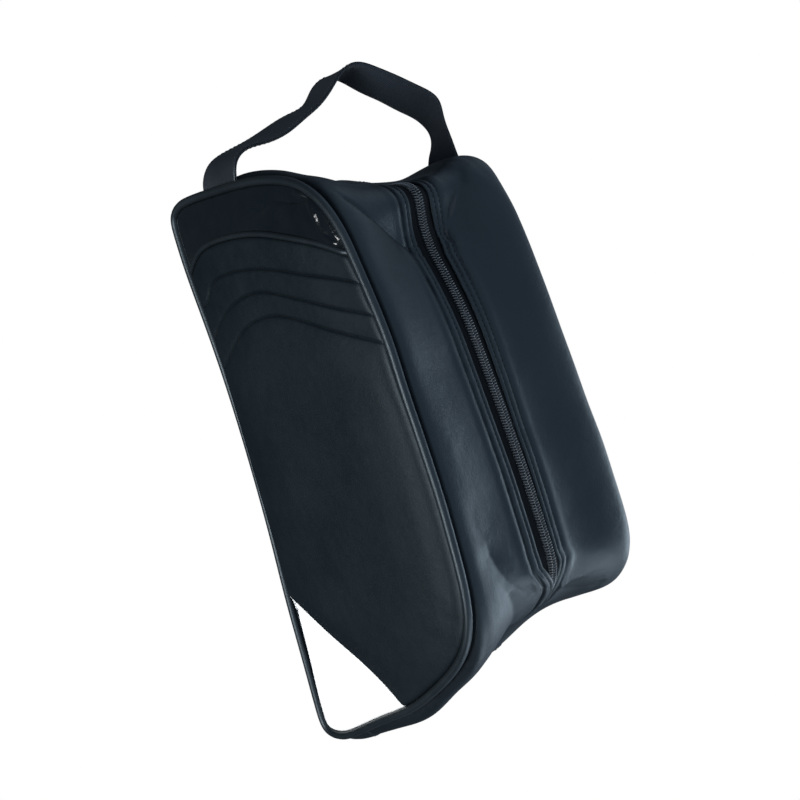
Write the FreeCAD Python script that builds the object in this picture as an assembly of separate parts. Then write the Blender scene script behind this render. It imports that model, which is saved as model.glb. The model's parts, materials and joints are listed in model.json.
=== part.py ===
import FreeCAD, Part
import math
import os

# Shoe bag: a soft zip-top case with two shaped side panels, a gusset that runs
# all the way round, piped edges, a long coil zip over the top and a carry
# strap on one end.
# Frame: millimetres, +Z up, origin at the centre of the underside of the base,
# +X towards the plain end, the strap is on the -X end, zip along Y = 0.
# Near pieces are on the -Y side, far pieces are their mirror images on +Y.

os.makedirs("parts", exist_ok=True)
V = FreeCAD.Vector

# --- gusset and linings -------------------------------------------------------
# An "offset" is measured outward from the rounded side outline.
GUSSET_OFFSET = 2.6               # outer face of the gusset
SKIN = 1.2                        # gusset skin thickness
GUSSET_HALF = 57.4                # half width of the gusset
LIP_HALF = 56.8                   # half width of the opening lips
FLANGE_Y = 8.0                    # edge of each gusset strip beside the zip
LIP_X = (-79.7, 75.7)             # the lips along the top
SLIT = 0.6                        # between a lip and the fixed strip beyond it
BASE_TOP_STRAP = 36.0             # height of the base strip up the strap end
BASE_TOP_PLAIN = 36.0             # height of the base strip up the plain end
BASE_SEAM = 0.4                   # between the base strip and the strips above
GAP = 0.15                        # clearance between stacked layers
LINING_T = 0.4
LINING_OFFSET = -1.0              # outer face of the base and end linings
LIP_LINING_OFFSET = 0.1           # inner face of the lip linings
LINING_EDGE_Y = FLANGE_Y + 0.5
BOARD_X = (-158, 156)             # stiffener board in the base
BOARD_T = 1.8
BOARD_HALF = GUSSET_HALF - 1

# Side outline before rounding, clockwise seen from -Y, from the base corner
# under the strap: X, Z, corner radius. It is the outer piping's centre line.
SIDE_OUTLINE = [
    (-176.4, GUSSET_OFFSET, 10.0), (-160.0, 128.0, 60.0), (-140.0, 167.0, 40.0),
    (-80.0, 183.4, 80.0), (97.0, 192.0, 26.0), (138.0, 131.0, 120.0),
    (174.0, GUSSET_OFFSET, 12.0),
]
# The gusset and its zip are drawn in at the strap end: same columns.
GUSSET_OUTLINE = [
    (-172.4, GUSSET_OFFSET, 10.0), (-145.6, 128.0, 60.0), (-132.0, 169.2, 40.0),
] + SIDE_OUTLINE[3:]

# --- zip ----------------------------------------------------------------------
TAPE_OFFSET, TAPE_T = 0.7, 0.55
TAPE_Y = (-14.0, -3.4)            # near tape
COIL_OFFSET, COIL_T = 0.5, 2.0
COIL_Y = (-3.2, -0.6)             # near coil
COIL_START_STRAP = 45.0           # distance up the strap end
COIL_START_PLAIN = 42.5           # distance up the plain end
SLIDER_UP = 52.0                  # slider centre, distance up the strap end
SLIDER_L, SLIDER_W = 12.0, 9.8
SLIDER_CORNER_R = 2.2
PIVOT_OFFSET = 5.0                # pull tab pivot
PIVOT_R = 0.75
TAB_L = 21.0                      # pull tab length from its pivot
TAB_T = 1.2
TAB_HALF = 4.2                    # half width of the tab's plate
TAB_CORNER_R = 2.0
TAB_ARM_Y = (1.6, 3.4)            # inner and outer faces of the +Y arm

# --- side panels and piping -----------------------------------------------------
PANEL_INSET = 2.9                 # side panels stop this far inside the outline
OUTER_PIPE_R, OUTER_PIPE_Y = 2.5, -63.0
INNER_PIPE_R, INNER_PIPE_Y = 1.8, -65.3
PIPE_CLEARANCE = 2.0              # inner piping line to the panels beside it
DIAGONAL_CLEARANCE = 0.3          # diagonal to the panels beside it
# X, Z along the inner piping, from the base up
INNER_PIPE_LINE = [
    (-131.0, 8.6), (-141.0, 22.5), (-145.0, 40.0), (-145.2, 58.0), (-143.2, 78.0),
    (-139.0, 101.0), (-133.0, 123.0), (-126.0, 145.0), (-117.0, 166.5),
]
# X, Z along the diagonal that divides off the lower corner panel, from the base up
DIAGONAL = [
    (70.0, 0.0), (81.8, 21.7), (103.5, 58.4), (120.1, 82.3), (145.1, 106.0), (168.0, 124.0),
]

# --- carry strap ----------------------------------------------------------------
STRAP_W = 34.0
STRAP_PIVOT = V(-197.3, 0, 72.0)  # the pivot line runs along Y through this point
STRAP_TILT = math.radians(66.0)   # rise of the strap loop above level
STRAP_HALF = 57.2                 # half distance between the legs, outer face
STRAP_RISE = 52.0                 # pivot line to the top of the loop
STRAP_LEG = 10.0                  # straight part of each leg above the pivot
FACING_T, WEBBING_T = 1.0, 1.3
ANCHOR_Y = (-60.2, -57.7)         # near sewn-in end
ANCHOR_END_X = -150.0
ANCHOR_REACH = 9.0                # anchor extends this far beyond the pivot line
ANCHOR_CORNER_R = 9.0

WIDE_Y = (-200, 200)              # cutters reach past the bag on both sides


# --- helpers ----------------------------------------------------------------------
def at(point):
    """Vector in the XZ plane from a table row that starts with X, Z."""
    return V(point[0], 0, point[1])


def heading(start, end):
    return (at(end) - at(start)).normalize()


def left_of(way):
    """The way turned a quarter turn anticlockwise, seen from -Y."""
    return V(-way.z, 0, way.x)


def line(start, end):
    return Part.LineSegment(start, end).toShape()


def outline(corners, offset):
    """Closed rounded wire in the XZ plane, parallel to the outline."""
    count = len(corners)
    ways = [heading(corners[i], corners[(i + 1) % count]) for i in range(count)]
    arcs = []
    for i, corner in enumerate(corners):
        before, after = ways[i - 1], ways[i]
        inward = (after - before).normalize()
        half_turn = before.getAngle(after) / 2
        centre = at(corner) + inward * (corner[2] / math.cos(half_turn))
        radius = corner[2] + offset
        arcs.append((centre + left_of(before) * radius,
                     centre - inward * radius,
                     centre + left_of(after) * radius))
    edges = []
    for i, arc in enumerate(arcs):
        edges.append(Part.Arc(*arc).toShape())
        edges.append(line(arc[2], arcs[(i + 1) % count][0]))
    return Part.Wire(edges)


def slab(wire, ys):
    """Prism over the Y range ys from a closed wire in the XZ plane."""
    face = Part.Face(wire)
    face.translate(V(0, ys[0], 0))
    return face.extrude(V(0, ys[1] - ys[0], 0))


def polygon(points):
    return Part.makePolygon(points + [points[0]])


def band(inner, outer, ys):
    """Ring that follows the gusset outline between two offsets."""
    hole = slab(outline(GUSSET_OUTLINE, inner), (ys[0] - 1, ys[1] + 1))
    return slab(outline(GUSSET_OUTLINE, outer), ys).cut(hole)


def box(xs, ys, zs):
    return Part.makeBox(xs[1] - xs[0], ys[1] - ys[0], zs[1] - zs[0], V(xs[0], ys[0], zs[0]))


# Each end face has local axes: its base corner, the way up it, the way out of it.
STRAP_END_UP = heading(GUSSET_OUTLINE[0], GUSSET_OUTLINE[1])
STRAP_END = (at(GUSSET_OUTLINE[0]), STRAP_END_UP, left_of(STRAP_END_UP))
PLAIN_END_UP = heading(SIDE_OUTLINE[6], SIDE_OUTLINE[5])
PLAIN_END = (at(SIDE_OUTLINE[6]), PLAIN_END_UP, left_of(PLAIN_END_UP) * -1)


def end_point(up, out, end=STRAP_END):
    corner, up_way, out_way = end
    return corner + up_way * up + out_way * out


def end_block(ups, outs, ys, end=STRAP_END):
    """Box aligned with an end face: ranges up it, out of it and across it."""
    pairs = [(ups[0], outs[0]), (ups[1], outs[0]), (ups[1], outs[1]), (ups[0], outs[1])]
    return slab(polygon([end_point(up, out, end) for up, out in pairs]), ys)


def edges_of_length(shape, length):
    return [e for e in shape.Edges if abs(e.Length - length) < 1e-3]


def save(name, shape):
    solids = shape.Solids
    result = solids[0] if len(solids) == 1 else Part.makeCompound(solids)
    result.exportStep("parts/" + name + ".step")


def save_both(name, near):
    """Save a near piece and its mirror image on the far side."""
    save("near_" + name, near)
    save("far_" + name, near.mirror(V(0, 0, 0), V(0, 1, 0)))


# --- cutters that divide the gusset, linings and zip --------------------------------
def strap_zone(start, x_max, z_min):
    """Everything from start up the strap end, as far as x_max."""
    block = end_block((start, 400), (-260, 60), WIDE_Y)
    return block.common(box((-400, x_max), WIDE_Y, (z_min, 400)))


def plain_zone(start, x_min, z_min):
    """Everything from start up the plain end, as far as x_min."""
    block = end_block((start, 500), (-260, 60), WIDE_Y, PLAIN_END)
    return block.common(box((x_min, 400), WIDE_Y, (z_min, 400)))


def end_zones(strap_start, plain_start):
    """The two zones between the base and the lips."""
    return (strap_zone(strap_start, LIP_X[0] - SLIT, -50),
            plain_zone(plain_start, LIP_X[1] + SLIT, -50))


def at_ends(strip, zones):
    return Part.makeCompound([strip.common(zone) for zone in zones])


FIXED_ZONES = end_zones(BASE_TOP_STRAP + BASE_SEAM, BASE_TOP_PLAIN + BASE_SEAM)
COIL_ZONES = end_zones(COIL_START_STRAP, COIL_START_PLAIN)
LIP_ZONE = box(LIP_X, WIDE_Y, (120, 400))
ABOVE_BASE = (strap_zone(BASE_TOP_STRAP, 0, 15), plain_zone(BASE_TOP_PLAIN, 0, 15))


# --- gusset, base and linings ---------------------------------------------------------
def base_part(inner, outer):
    """Full-width ring cut down to the base and the foot of each end."""
    ring = band(inner, outer, (-GUSSET_HALF, GUSSET_HALF))
    return ring.cut(ABOVE_BASE[0]).cut(ABOVE_BASE[1])


def gusset():
    skin = (GUSSET_OFFSET - SKIN, GUSSET_OFFSET)
    save("base_gusset", base_part(*skin))
    strip = band(*skin, (-GUSSET_HALF, -FLANGE_Y))
    save_both("gusset_strap_end", strip.common(FIXED_ZONES[0]))
    save_both("gusset_plain_end", strip.common(FIXED_ZONES[1]))
    save_both("zip_lip", band(*skin, (-LIP_HALF, -FLANGE_Y)).common(LIP_ZONE))


def base_board():
    bottom = SKIN + GAP
    save("base_board", box(BOARD_X, (-BOARD_HALF, BOARD_HALF), (bottom, bottom + BOARD_T)))


def linings():
    layer = (LINING_OFFSET - LINING_T, LINING_OFFSET)
    save("base_lining", base_part(*layer))
    strip = band(*layer, (-GUSSET_HALF, -LINING_EDGE_Y))
    save_both("end_linings", at_ends(strip, FIXED_ZONES))
    lip_strip = band(LIP_LINING_OFFSET, LIP_LINING_OFFSET + LINING_T,
                     (-LIP_HALF, -LINING_EDGE_Y))
    save_both("lip_lining", lip_strip.common(LIP_ZONE))


# --- zip --------------------------------------------------------------------------------
def tapes_and_coils():
    tape = band(TAPE_OFFSET, TAPE_OFFSET + TAPE_T, TAPE_Y)
    coil = band(COIL_OFFSET, COIL_OFFSET + COIL_T, COIL_Y)
    for name, strip, zones in (("tape", tape, FIXED_ZONES), ("coil", coil, COIL_ZONES)):
        save_both("zip_" + name + "_ends", at_ends(strip, zones))
        save_both("zip_" + name + "_top", strip.common(LIP_ZONE))


def zip_stops():
    outs = (COIL_OFFSET, COIL_OFFSET + COIL_T)
    save("zip_top_stops", Part.makeCompound(
        [end_block((41.5, 44.5), outs, ys) for ys in ((-3.2, -0.8), (0.8, 3.2))]))
    save("zip_bottom_stop", end_block((38.5, 42.0), (0.4, 2.7), (-3.2, 3.2), PLAIN_END))


def slider_block(ups, outs, ys):
    """End block with its up range measured from the slider's centre."""
    return end_block((SLIDER_UP + ups[0], SLIDER_UP + ups[1]), outs, ys)


def zip_slider():
    half_l, half_w = SLIDER_L / 2, SLIDER_W / 2
    length, width = (-half_l, half_l), (-half_w, half_w)
    flange_t = 1.2
    near_flange = (-half_w, -half_w + flange_t)
    far_flange = (half_w - flange_t, half_w)
    bridge_w = (-1.1, 1.1)
    # ranges up the end, outward and across
    blocks = [
        (length, (2.7, 3.9), width),                            # outer plate
        (length, (-0.7, 0.3), width),                           # inner plate
        ((-half_l, -half_l + 3.2), (0.2, 2.8), (-0.45, 0.45)),  # neck
        (length, (1.45, 2.8), near_flange),
        (length, (1.45, 2.8), far_flange),
        (length, (0.2, 0.5), near_flange),
        (length, (0.2, 0.5), far_flange),
        ((-4.1, -2.9), (3.8, 6.3), bridge_w),                   # lower bridge post
        ((2.9, 4.1), (3.8, 6.3), bridge_w),                     # upper bridge post
        ((-4.1, 4.1), (6.1, 7.2), bridge_w),                    # bridge bar
    ]
    slider = slider_block(*blocks[0])
    for block in blocks[1:]:
        slider = slider.fuse(slider_block(*block))
    # a rounded block taller than the slider trims its four corners
    trim_outs = (-2, 9)
    trim = slider_block(length, trim_outs, width)
    corners = edges_of_length(trim, trim_outs[1] - trim_outs[0])
    slider = slider.common(trim.makeFillet(SLIDER_CORNER_R, corners))
    save("zip_slider", slider.removeSplitter())


def zip_pull_tab():
    """Pivot bar, two arms and a rounded plate that hangs down the strap end."""
    outs = (PIVOT_OFFSET - TAB_T / 2, PIVOT_OFFSET + TAB_T / 2)
    arm_in, arm_out = TAB_ARM_Y
    bar_start = end_point(SLIDER_UP, PIVOT_OFFSET) - V(0, arm_out, 0)
    tab = Part.makeCylinder(PIVOT_R, 2 * arm_out, bar_start, V(0, 1, 0))
    for ys in ((-arm_out, -arm_in), (arm_in, arm_out)):
        tab = tab.fuse(slider_block((-8.6, 0), outs, ys))
    plate = slider_block((-TAB_L, -8.0), outs, (-TAB_HALF, TAB_HALF))
    plate = plate.makeFillet(TAB_CORNER_R, edges_of_length(plate, TAB_T))
    save("zip_pull_tab", tab.fuse(plate).removeSplitter())


# --- side panels ----------------------------------------------------------------------------
def curve_through(points):
    curve = Part.BSplineCurve()
    curve.interpolate(points)
    return curve


def side_zone(points, shift, extension, far_corners):
    """Prism on one side of a curve, closed through the far corners.

    The curve is shifted to its left and extended straight at both ends.
    """
    curve = curve_through([at(p) for p in points])
    first, last = curve.FirstParameter, curve.LastParameter
    steps = 18
    shifted = []
    for i in range(steps + 1):
        t = first + (last - first) * i / steps
        shifted.append(curve.value(t) + left_of(curve.tangent(t)[0]) * shift)
    start = shifted[0] - curve.tangent(first)[0] * extension
    end = shifted[-1] + curve.tangent(last)[0] * extension
    edge = curve_through([start] + shifted + [end]).toShape()
    chain = [end] + [at(p) for p in far_corners] + [start]
    return slab(Part.Wire([edge] + [line(a, b) for a, b in zip(chain, chain[1:])]), (-100, 0))


def side_panels():
    patent = side_zone(INNER_PIPE_LINE, PIPE_CLEARANCE, 14,
                       [(-100, 260), (-300, 260), (-300, -40)])
    quilt = side_zone(INNER_PIPE_LINE, -PIPE_CLEARANCE, 14,
                      [(-60, 260), (300, 260), (300, -60), (-60, -60)])
    corner = side_zone(DIAGONAL, -DIAGONAL_CLEARANCE, 30, [(300, 150), (300, -60)])
    main = side_zone(DIAGONAL, DIAGONAL_CLEARANCE, 30,
                     [(200, 260), (-320, 260), (-320, -80), (40, -80)])
    inside = outline(SIDE_OUTLINE, -PANEL_INSET)
    # name, Y range of the near piece, zones it is limited to
    layers = [
        ("patent_panel", (-64.6, -63.7), [patent]),
        ("quilted_panel", (-66.1, -65.2), [quilt, main]),
        ("quilt_foam", (-65.0, -62.6), [quilt, main]),
        ("corner_panel", (-65.0, -64.0), [quilt, corner]),
        ("side_backing", (-62.3, -61.3), []),
        ("side_lining", (-61.1, -60.7), []),
    ]
    for name, ys, zones in layers:
        panel = slab(inside, ys)
        for zone in zones:
            panel = panel.common(zone)
        save_both(name, panel)


def cord(wire, radius, y):
    """Round cord along a wire in the XZ plane, moved to y."""
    edge = wire.Edges[0]
    t = edge.FirstParameter
    section = Part.Wire(Part.Circle(edge.valueAt(t), edge.tangentAt(t), radius).toShape())
    shape = wire.makePipeShell([section], True, False)
    shape.translate(V(0, y, 0))
    return shape


def piping():
    save_both("outer_piping", cord(outline(SIDE_OUTLINE, 0.0), OUTER_PIPE_R, OUTER_PIPE_Y))
    inner = Part.Wire(curve_through([at(p) for p in INNER_PIPE_LINE]).toShape())
    save_both("inner_piping", cord(inner, INNER_PIPE_R, INNER_PIPE_Y))


# --- carry strap and its sewn-in ends ----------------------------------------------------------
LOOP_UP = V(-math.cos(STRAP_TILT), 0, math.sin(STRAP_TILT))
LOOP_ACROSS = V(math.sin(STRAP_TILT), 0, math.cos(STRAP_TILT))  # the strap's width


def loop_point(y, up):
    """Point on the edge of the strap, in the tilted plane of the loop."""
    return STRAP_PIVOT + V(0, y, 0) + LOOP_UP * up - LOOP_ACROSS * (STRAP_W / 2)


def loop_arch(half, rise):
    """Half ellipse over the tops of the straight legs."""
    steps = 28
    points = []
    for i in range(steps + 1):
        angle = math.pi * i / steps
        points.append(loop_point(-half * math.cos(angle),
                                 STRAP_LEG + (rise - STRAP_LEG) * math.sin(angle)))
    curve = Part.BSplineCurve()
    curve.interpolate(points, InitialTangent=LOOP_UP, FinalTangent=LOOP_UP * -1)
    return curve.toShape()


def strap_layer(inset, thickness):
    """One layer of the strap, its outer face inset from the outside of the loop."""
    outer, inner = STRAP_HALF - inset, STRAP_HALF - inset - thickness
    rise = STRAP_RISE - inset
    foot = -STRAP_W / 2 - 1

    def run(start, end):
        return line(loop_point(*start), loop_point(*end))

    edges = [
        run((-outer, foot), (-outer, STRAP_LEG)),
        loop_arch(outer, rise),
        run((outer, STRAP_LEG), (outer, foot)),
        run((outer, foot), (inner, foot)),
        run((inner, foot), (inner, STRAP_LEG)),
        loop_arch(inner, rise - thickness),
        run((-inner, STRAP_LEG), (-inner, foot)),
        run((-inner, foot), (-outer, foot)),
    ]
    loop = Part.Face(Part.Wire(Part.__sortEdges__(edges))).extrude(LOOP_ACROSS * STRAP_W)

    # round the leg ends about the pivot line and keep all above it
    ys = (-80, 80)
    ends = Part.makeCylinder(STRAP_W / 2, ys[1] - ys[0],
                             STRAP_PIVOT + V(0, ys[0], 0), V(0, 1, 0))
    side, top = LOOP_ACROSS * (STRAP_W / 2 + 2), LOOP_UP * 90
    above = slab(polygon([STRAP_PIVOT - side, STRAP_PIVOT + side,
                          STRAP_PIVOT + side + top, STRAP_PIVOT - side + top]), ys)
    return loop.common(ends.fuse(above))


def handle():
    save("handle_facing", strap_layer(0.0, FACING_T))
    save("handle_webbing", strap_layer(FACING_T + GAP, WEBBING_T))


def handle_anchors():
    start_x = STRAP_PIVOT.x - ANCHOR_REACH
    mid_z, half_w = STRAP_PIVOT.z, STRAP_W / 2
    anchor = box((start_x, ANCHOR_END_X), ANCHOR_Y, (mid_z - half_w, mid_z + half_w))
    corners = [e for e in edges_of_length(anchor, ANCHOR_Y[1] - ANCHOR_Y[0])
               if e.CenterOfMass.x < start_x + 1]
    save_both("handle_anchor", anchor.makeFillet(ANCHOR_CORNER_R, corners))


gusset()
base_board()
linings()
tapes_and_coils()
zip_stops()
zip_slider()
zip_pull_tab()
side_panels()
piping()
handle()
handle_anchors()
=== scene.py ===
# A padded zip-top bag: quilted sides, a patent panel at the strap end, a white
# panel low at the other end, piping round both sides and a carry strap.
# It stands on z = 0 and runs along x, with the strap end at -x and the plain end
# at +x. "Near" pieces lie at -y (side -1), "far" pieces at +y (side +1), and the
# zip follows the middle, y = 0. Lengths are millimetres until a mesh is made.
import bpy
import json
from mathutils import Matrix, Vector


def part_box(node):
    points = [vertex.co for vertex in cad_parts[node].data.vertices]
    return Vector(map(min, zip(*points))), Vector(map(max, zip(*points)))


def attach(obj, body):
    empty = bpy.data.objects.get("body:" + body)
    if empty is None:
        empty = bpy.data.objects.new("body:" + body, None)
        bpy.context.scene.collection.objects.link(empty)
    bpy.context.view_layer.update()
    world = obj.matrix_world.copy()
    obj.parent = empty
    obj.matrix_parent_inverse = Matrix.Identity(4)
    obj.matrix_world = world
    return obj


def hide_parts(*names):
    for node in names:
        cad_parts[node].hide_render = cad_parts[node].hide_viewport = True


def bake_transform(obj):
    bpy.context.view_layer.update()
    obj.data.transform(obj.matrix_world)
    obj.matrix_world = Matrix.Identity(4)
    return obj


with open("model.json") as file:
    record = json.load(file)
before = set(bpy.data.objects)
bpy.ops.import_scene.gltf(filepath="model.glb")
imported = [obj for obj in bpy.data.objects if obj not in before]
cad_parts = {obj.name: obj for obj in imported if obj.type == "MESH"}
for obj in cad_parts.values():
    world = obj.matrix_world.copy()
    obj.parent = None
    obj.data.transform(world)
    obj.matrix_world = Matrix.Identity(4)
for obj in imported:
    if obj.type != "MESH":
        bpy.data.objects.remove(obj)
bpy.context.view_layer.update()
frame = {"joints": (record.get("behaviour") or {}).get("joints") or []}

import json
import math

import bpy
import numpy as np
from mathutils import Matrix, Vector

MM = 0.001
scene = bpy.context.scene
SIDES = (-1, 1)
SIDE_NAME = {-1: "near", 1: "far"}

# =============================================================================
# numeric helpers
# =============================================================================


def smooth(x):
    """Eased step from 0 to 1 as x goes from 0 to 1."""
    x = np.clip(x, 0, 1)
    return x * x * (3 - 2 * x)


def roll(distance, width):
    """Quarter-round rise from 0 at a seam to 1 at distance width."""
    q = 1 - np.clip(distance / width, 0, 1)
    return np.sqrt(np.clip(1 - q * q, 0, 1))


def bell(distance, width, power=2):
    """1 at distance 0, falling away over width."""
    return np.exp(-(distance / width) ** power)


def past(distance, start):
    """How far distance is past start, never negative."""
    return np.clip(distance - start, 0, None)


def unit(vectors):
    return vectors / np.linalg.norm(vectors, axis=-1, keepdims=True)


def across(vectors, axis):
    """Unit vectors with their part along axis taken out."""
    return unit(vectors - (vectors * axis).sum(-1, keepdims=True) * axis)


class Spline:
    """Cubic spline through rows of points, closed or natural, over u in 0..1."""

    def __init__(self, points, closed=False, knots=None):
        points = np.asarray(points, float)
        if closed:
            points = np.vstack([points, points[:1]])
        if knots is None:
            chords = np.linalg.norm(np.diff(points, axis=0), axis=1) ** 0.8
            knots = np.r_[0, np.cumsum(chords)]
            knots = knots / knots[-1]
        self.knots, self.points, self.closed = knots, points, closed
        count = len(points) - 1
        size = count if closed else count + 1
        gap = np.diff(knots)
        slope = np.diff(points, axis=0) / gap[:, None]
        matrix = np.zeros((size, size))
        right = np.zeros((size, points.shape[1]))
        for i in range(0 if closed else 1, count):
            matrix[i, (i - 1) % size] += gap[i - 1]
            matrix[i, i] += 2 * (gap[i - 1] + gap[i])
            matrix[i, (i + 1) % size] += gap[i]
            right[i] = 6 * (slope[i] - slope[i - 1])
        if not closed:
            matrix[0, 0] = matrix[-1, -1] = 1
        self.second = np.linalg.solve(matrix, right)
        if closed:
            self.second = np.vstack([self.second, self.second[:1]])

    def __call__(self, u):
        u = np.asarray(u, float)
        if self.closed:
            u = u % 1.0
        knots = self.knots
        i = np.clip(np.searchsorted(knots, u, side="right") - 1, 0, len(knots) - 2)
        gap = (knots[i + 1] - knots[i])[..., None]
        a = ((knots[i + 1] - u)[..., None]) / gap
        b = 1 - a
        bend = (a ** 3 - a) * self.second[i] + (b ** 3 - b) * self.second[i + 1]
        return a * self.points[i] + b * self.points[i + 1] + bend * gap * gap / 6


def travel(line):
    """Running length along a polyline."""
    return np.r_[0, np.cumsum(np.linalg.norm(np.diff(line, axis=0), axis=1))]


def pick(at, run, line):
    """Points of line at running lengths at."""
    return np.stack([np.interp(at, run, column) for column in line.T], -1)


def resample(line, count=None, step=None):
    """Points evenly spaced along a polyline."""
    line = np.asarray(line, float)
    run = travel(line)
    if count is None:
        count = max(2, int(round(run[-1] / step)) + 1)
    return pick(np.linspace(0, run[-1], count), run, line)


def line_distance(x, y, line):
    """Distance of each (x, y) to a polyline."""
    line = np.asarray(line, float)
    points = np.stack([x.ravel(), y.ravel()], 1)
    best = np.full(len(points), 1e9)
    for start, chord in zip(line[:-1], np.diff(line, axis=0)):
        t = np.clip(((points - start) @ chord) / ((chord ** 2).sum() + 1e-12), 0, 1)
        gap = points - (start + t[:, None] * chord)
        best = np.minimum(best, (gap ** 2).sum(1))
    return np.sqrt(best).reshape(x.shape)


def noise(points, scale, seed):
    """Smooth value noise in -1..1 at points (..., 3), fixed by the seed."""
    q = np.asarray(points, float) / scale + 1000.0
    cell = np.floor(q).astype(np.int64)
    f = q - cell
    f = f * f * (3 - 2 * f)

    def corner(a, b, c):
        n = (a * 73856093) ^ (b * 19349663) ^ (c * 83492791) ^ (seed * 2654435761)
        n = (n ^ (n >> 13)) * 1274126177
        n = n & 0x7FFFFFFF
        return (n % 100003) / 50001.5 - 1.0
    total = 0
    for step in np.ndindex(2, 2, 2):
        wx, wy, wz = (f[..., k] if step[k] else 1 - f[..., k] for k in range(3))
        total = total + wx * wy * wz * corner(*(cell[..., k] + step[k] for k in range(3)))
    return total


# =============================================================================
# skeleton: ribs round the bag, from the near piping line over the zip and base
# centre line to the far piping line. They start at the middle of the base and
# run by the strap end and the top to the plain end.
# =============================================================================
# near x, z | middle x, z | far x, z | near, far shoulder height
RIBS = np.array([
    (0, 9.3, 0, .5, 0, 3.1, 1.0, 1.0), (-40, 9.8, -40, .5, -40, 3.0, 1.0, 1.0),
    (-75, 9.4, -75, .4, -75, 2.9, 1.0, 1.0), (-105, 7.2, -104, .4, -104, 2.8, 1.0, 1.0),
    (-135, 3.8, -132, .4, -131, 2.8, 1.2, 1.2), (-158, 2.9, -151, .9, -150, 3.2, 2.6, 1.8),
    (-168.2, 5.2, -162, 4, -160.5, 6, 3.0, 2.2), (-173.0, 14, -166, 13, -164.5, 14, 3.4, 2.6),
    (-174.2, 25, -166.5, 24, -163, 25, 3.2, 2.8), (-173.6, 44.4, -165, 43, -156.5, 44, 3.0, 3),
    (-171.7, 74.6, -159, 72, -149.5, 74, 6.4, 3), (-168.8, 102.8, -153.5, 100, -147.5, 100, 6.0, 3),
    (-165.5, 120.2, -149.5, 118, -149.5, 118, 4.5, 3), (-160.9, 136.1, -146.8, 134, -151, 134, 3.0, 3),
    (-153.8, 150.1, -145, 148.5, -149.5, 149, 4.2, 3), (-143.1, 161.8, -141.3, 159, -142.5, 163, 3.6, 3),
    (-132, 168.8, -134.5, 163.3, -132.3, 171, 2.8, 2.6), (-122, 172.8, -124.5, 161.8, -121, 175.6, 2.8, 2.2),
    (-109, 176.2, -108, 161.8, -108.5, 179.3, 2.8, 2), (-95.6, 179.3, -95.5, 165.5, -95, 181.8, 2.8, 2),
    (-80, 182.6, -80, 171, -80, 183.5, 2.8, 2), (-61, 185.4, -61, 176.4, -61, 184.8, 2.8, 2),
    (-40, 186.6, -40, 179.8, -40, 185.6, 2.6, 2), (-18, 188.4, -18, 182.9, -18, 186.6, 2.6, 2),
    (5, 190.2, 5, 185.6, 5, 187.4, 2.4, 2), (26, 191.3, 26, 188, 26, 188.9, 2.2, 2),
    (48, 191.2, 48, 189.6, 48, 190.2, 2.2, 2), (69, 190.4, 68, 190.7, 69, 191.3, 2.6, 2),
    (88, 186.8, 84, 189.2, 84, 190, 4, 2), (103.4, 178.6, 96, 181.2, 96, 184.8, 6, 2),
    (118.3, 162.5, 105.5, 168.0, 108.2, 172.6, 8, 2), (132.1, 139.1, 111.5, 150.5, 113.6, 153.5, 8.2, 2.2),
    (145.9, 109.2, 119.5, 118, 122.0, 118, 11.2, 2.0), (156.2, 75.6, 132, 80, 138.4, 78, 10.8, 2.5),
    (167.6, 39.6, 148, 40, 158.5, 40, 8.0, 2.6), (170.8, 20.2, 156, 20, 164.5, 20, 6.6, 2),
    (166.6, 8.5, 156, 7, 162, 8, 5.0, 1.6), (154.4, 6.4, 147, 1.6, 150, 3.5, 3.0, 1.2),
    (136, 7.0, 132, .7, 133, 3, 1.0, 1.0), (110, 7.8, 108, .5, 108, 2.9, 1.0, 1.0),
    (80, 8.0, 80, .5, 80, 2.9, 1.0, 1.0), (45, 9.0, 45, .5, 45, 3.0, 1.0, 1.0)])
RIB_COUNT = len(RIBS)
EDGE_Y = 63.0                     # piping line, from the middle
SEAM_INSET = 2.4                  # from the piping line to the gusset seam
HALF = EDGE_Y - SEAM_INSET        # gusset seam to the middle
FAR_ROLL = 5.6                    # how far the rolled far edge sits in and over
# how much each rib takes part in the far roll: full from 11 to 33 unless listed
ROLL_FADE = {7: 0.15, 8: 0.35, 9: 0.6, 10: 0.85, 30: 0.8, 31: 0.65, 32: 0.55, 33: 0.55,
             34: 0.5, 35: 0.3, 36: 0.1}
FAR_ROLLS = np.array([ROLL_FADE.get(k, float(10 < k < 34)) for k in range(RIB_COUNT)])


def far_pull(x, z):
    """How far the far side leans towards the middle, most at the strap end."""
    lean = np.interp(x, [-100, -57, -27, 3, 30], [1, 0.8, 0.5, 0.22, 0])
    return 3.6 * lean * smooth((np.asarray(z) - 70) / 80)


near_x, near_z, _, _, far_x, far_z = RIBS.T[:6]
# lower the far top edge over the strap half
FAR_DROP = ([-152, -146, -132, -85, -57, -27, 3, 30], [0.0, 0.35, 1, 1, 0.75, 0.5, 0.25, 0])
far_z -= 4.9 * np.interp(far_x, *FAR_DROP) * smooth((far_z - 120) / 40)
# both edges draw in a little under the base
on_base = near_z < 12
near_y = -EDGE_Y + np.where(on_base, 2.2 * smooth(1 - abs(near_x + 5) / 120), 0)
far_y = EDGE_Y - np.where(on_base, smooth(1 - abs(near_x) / 120), 0) - far_pull(far_x, far_z)

_closed = np.vstack([RIBS[:, :4], RIBS[:1, :4]])
KNOTS = np.r_[0, np.cumsum(np.linalg.norm(np.diff(_closed, axis=0), axis=1) ** 0.9)]
KNOTS = KNOTS / KNOTS[-1]
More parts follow.
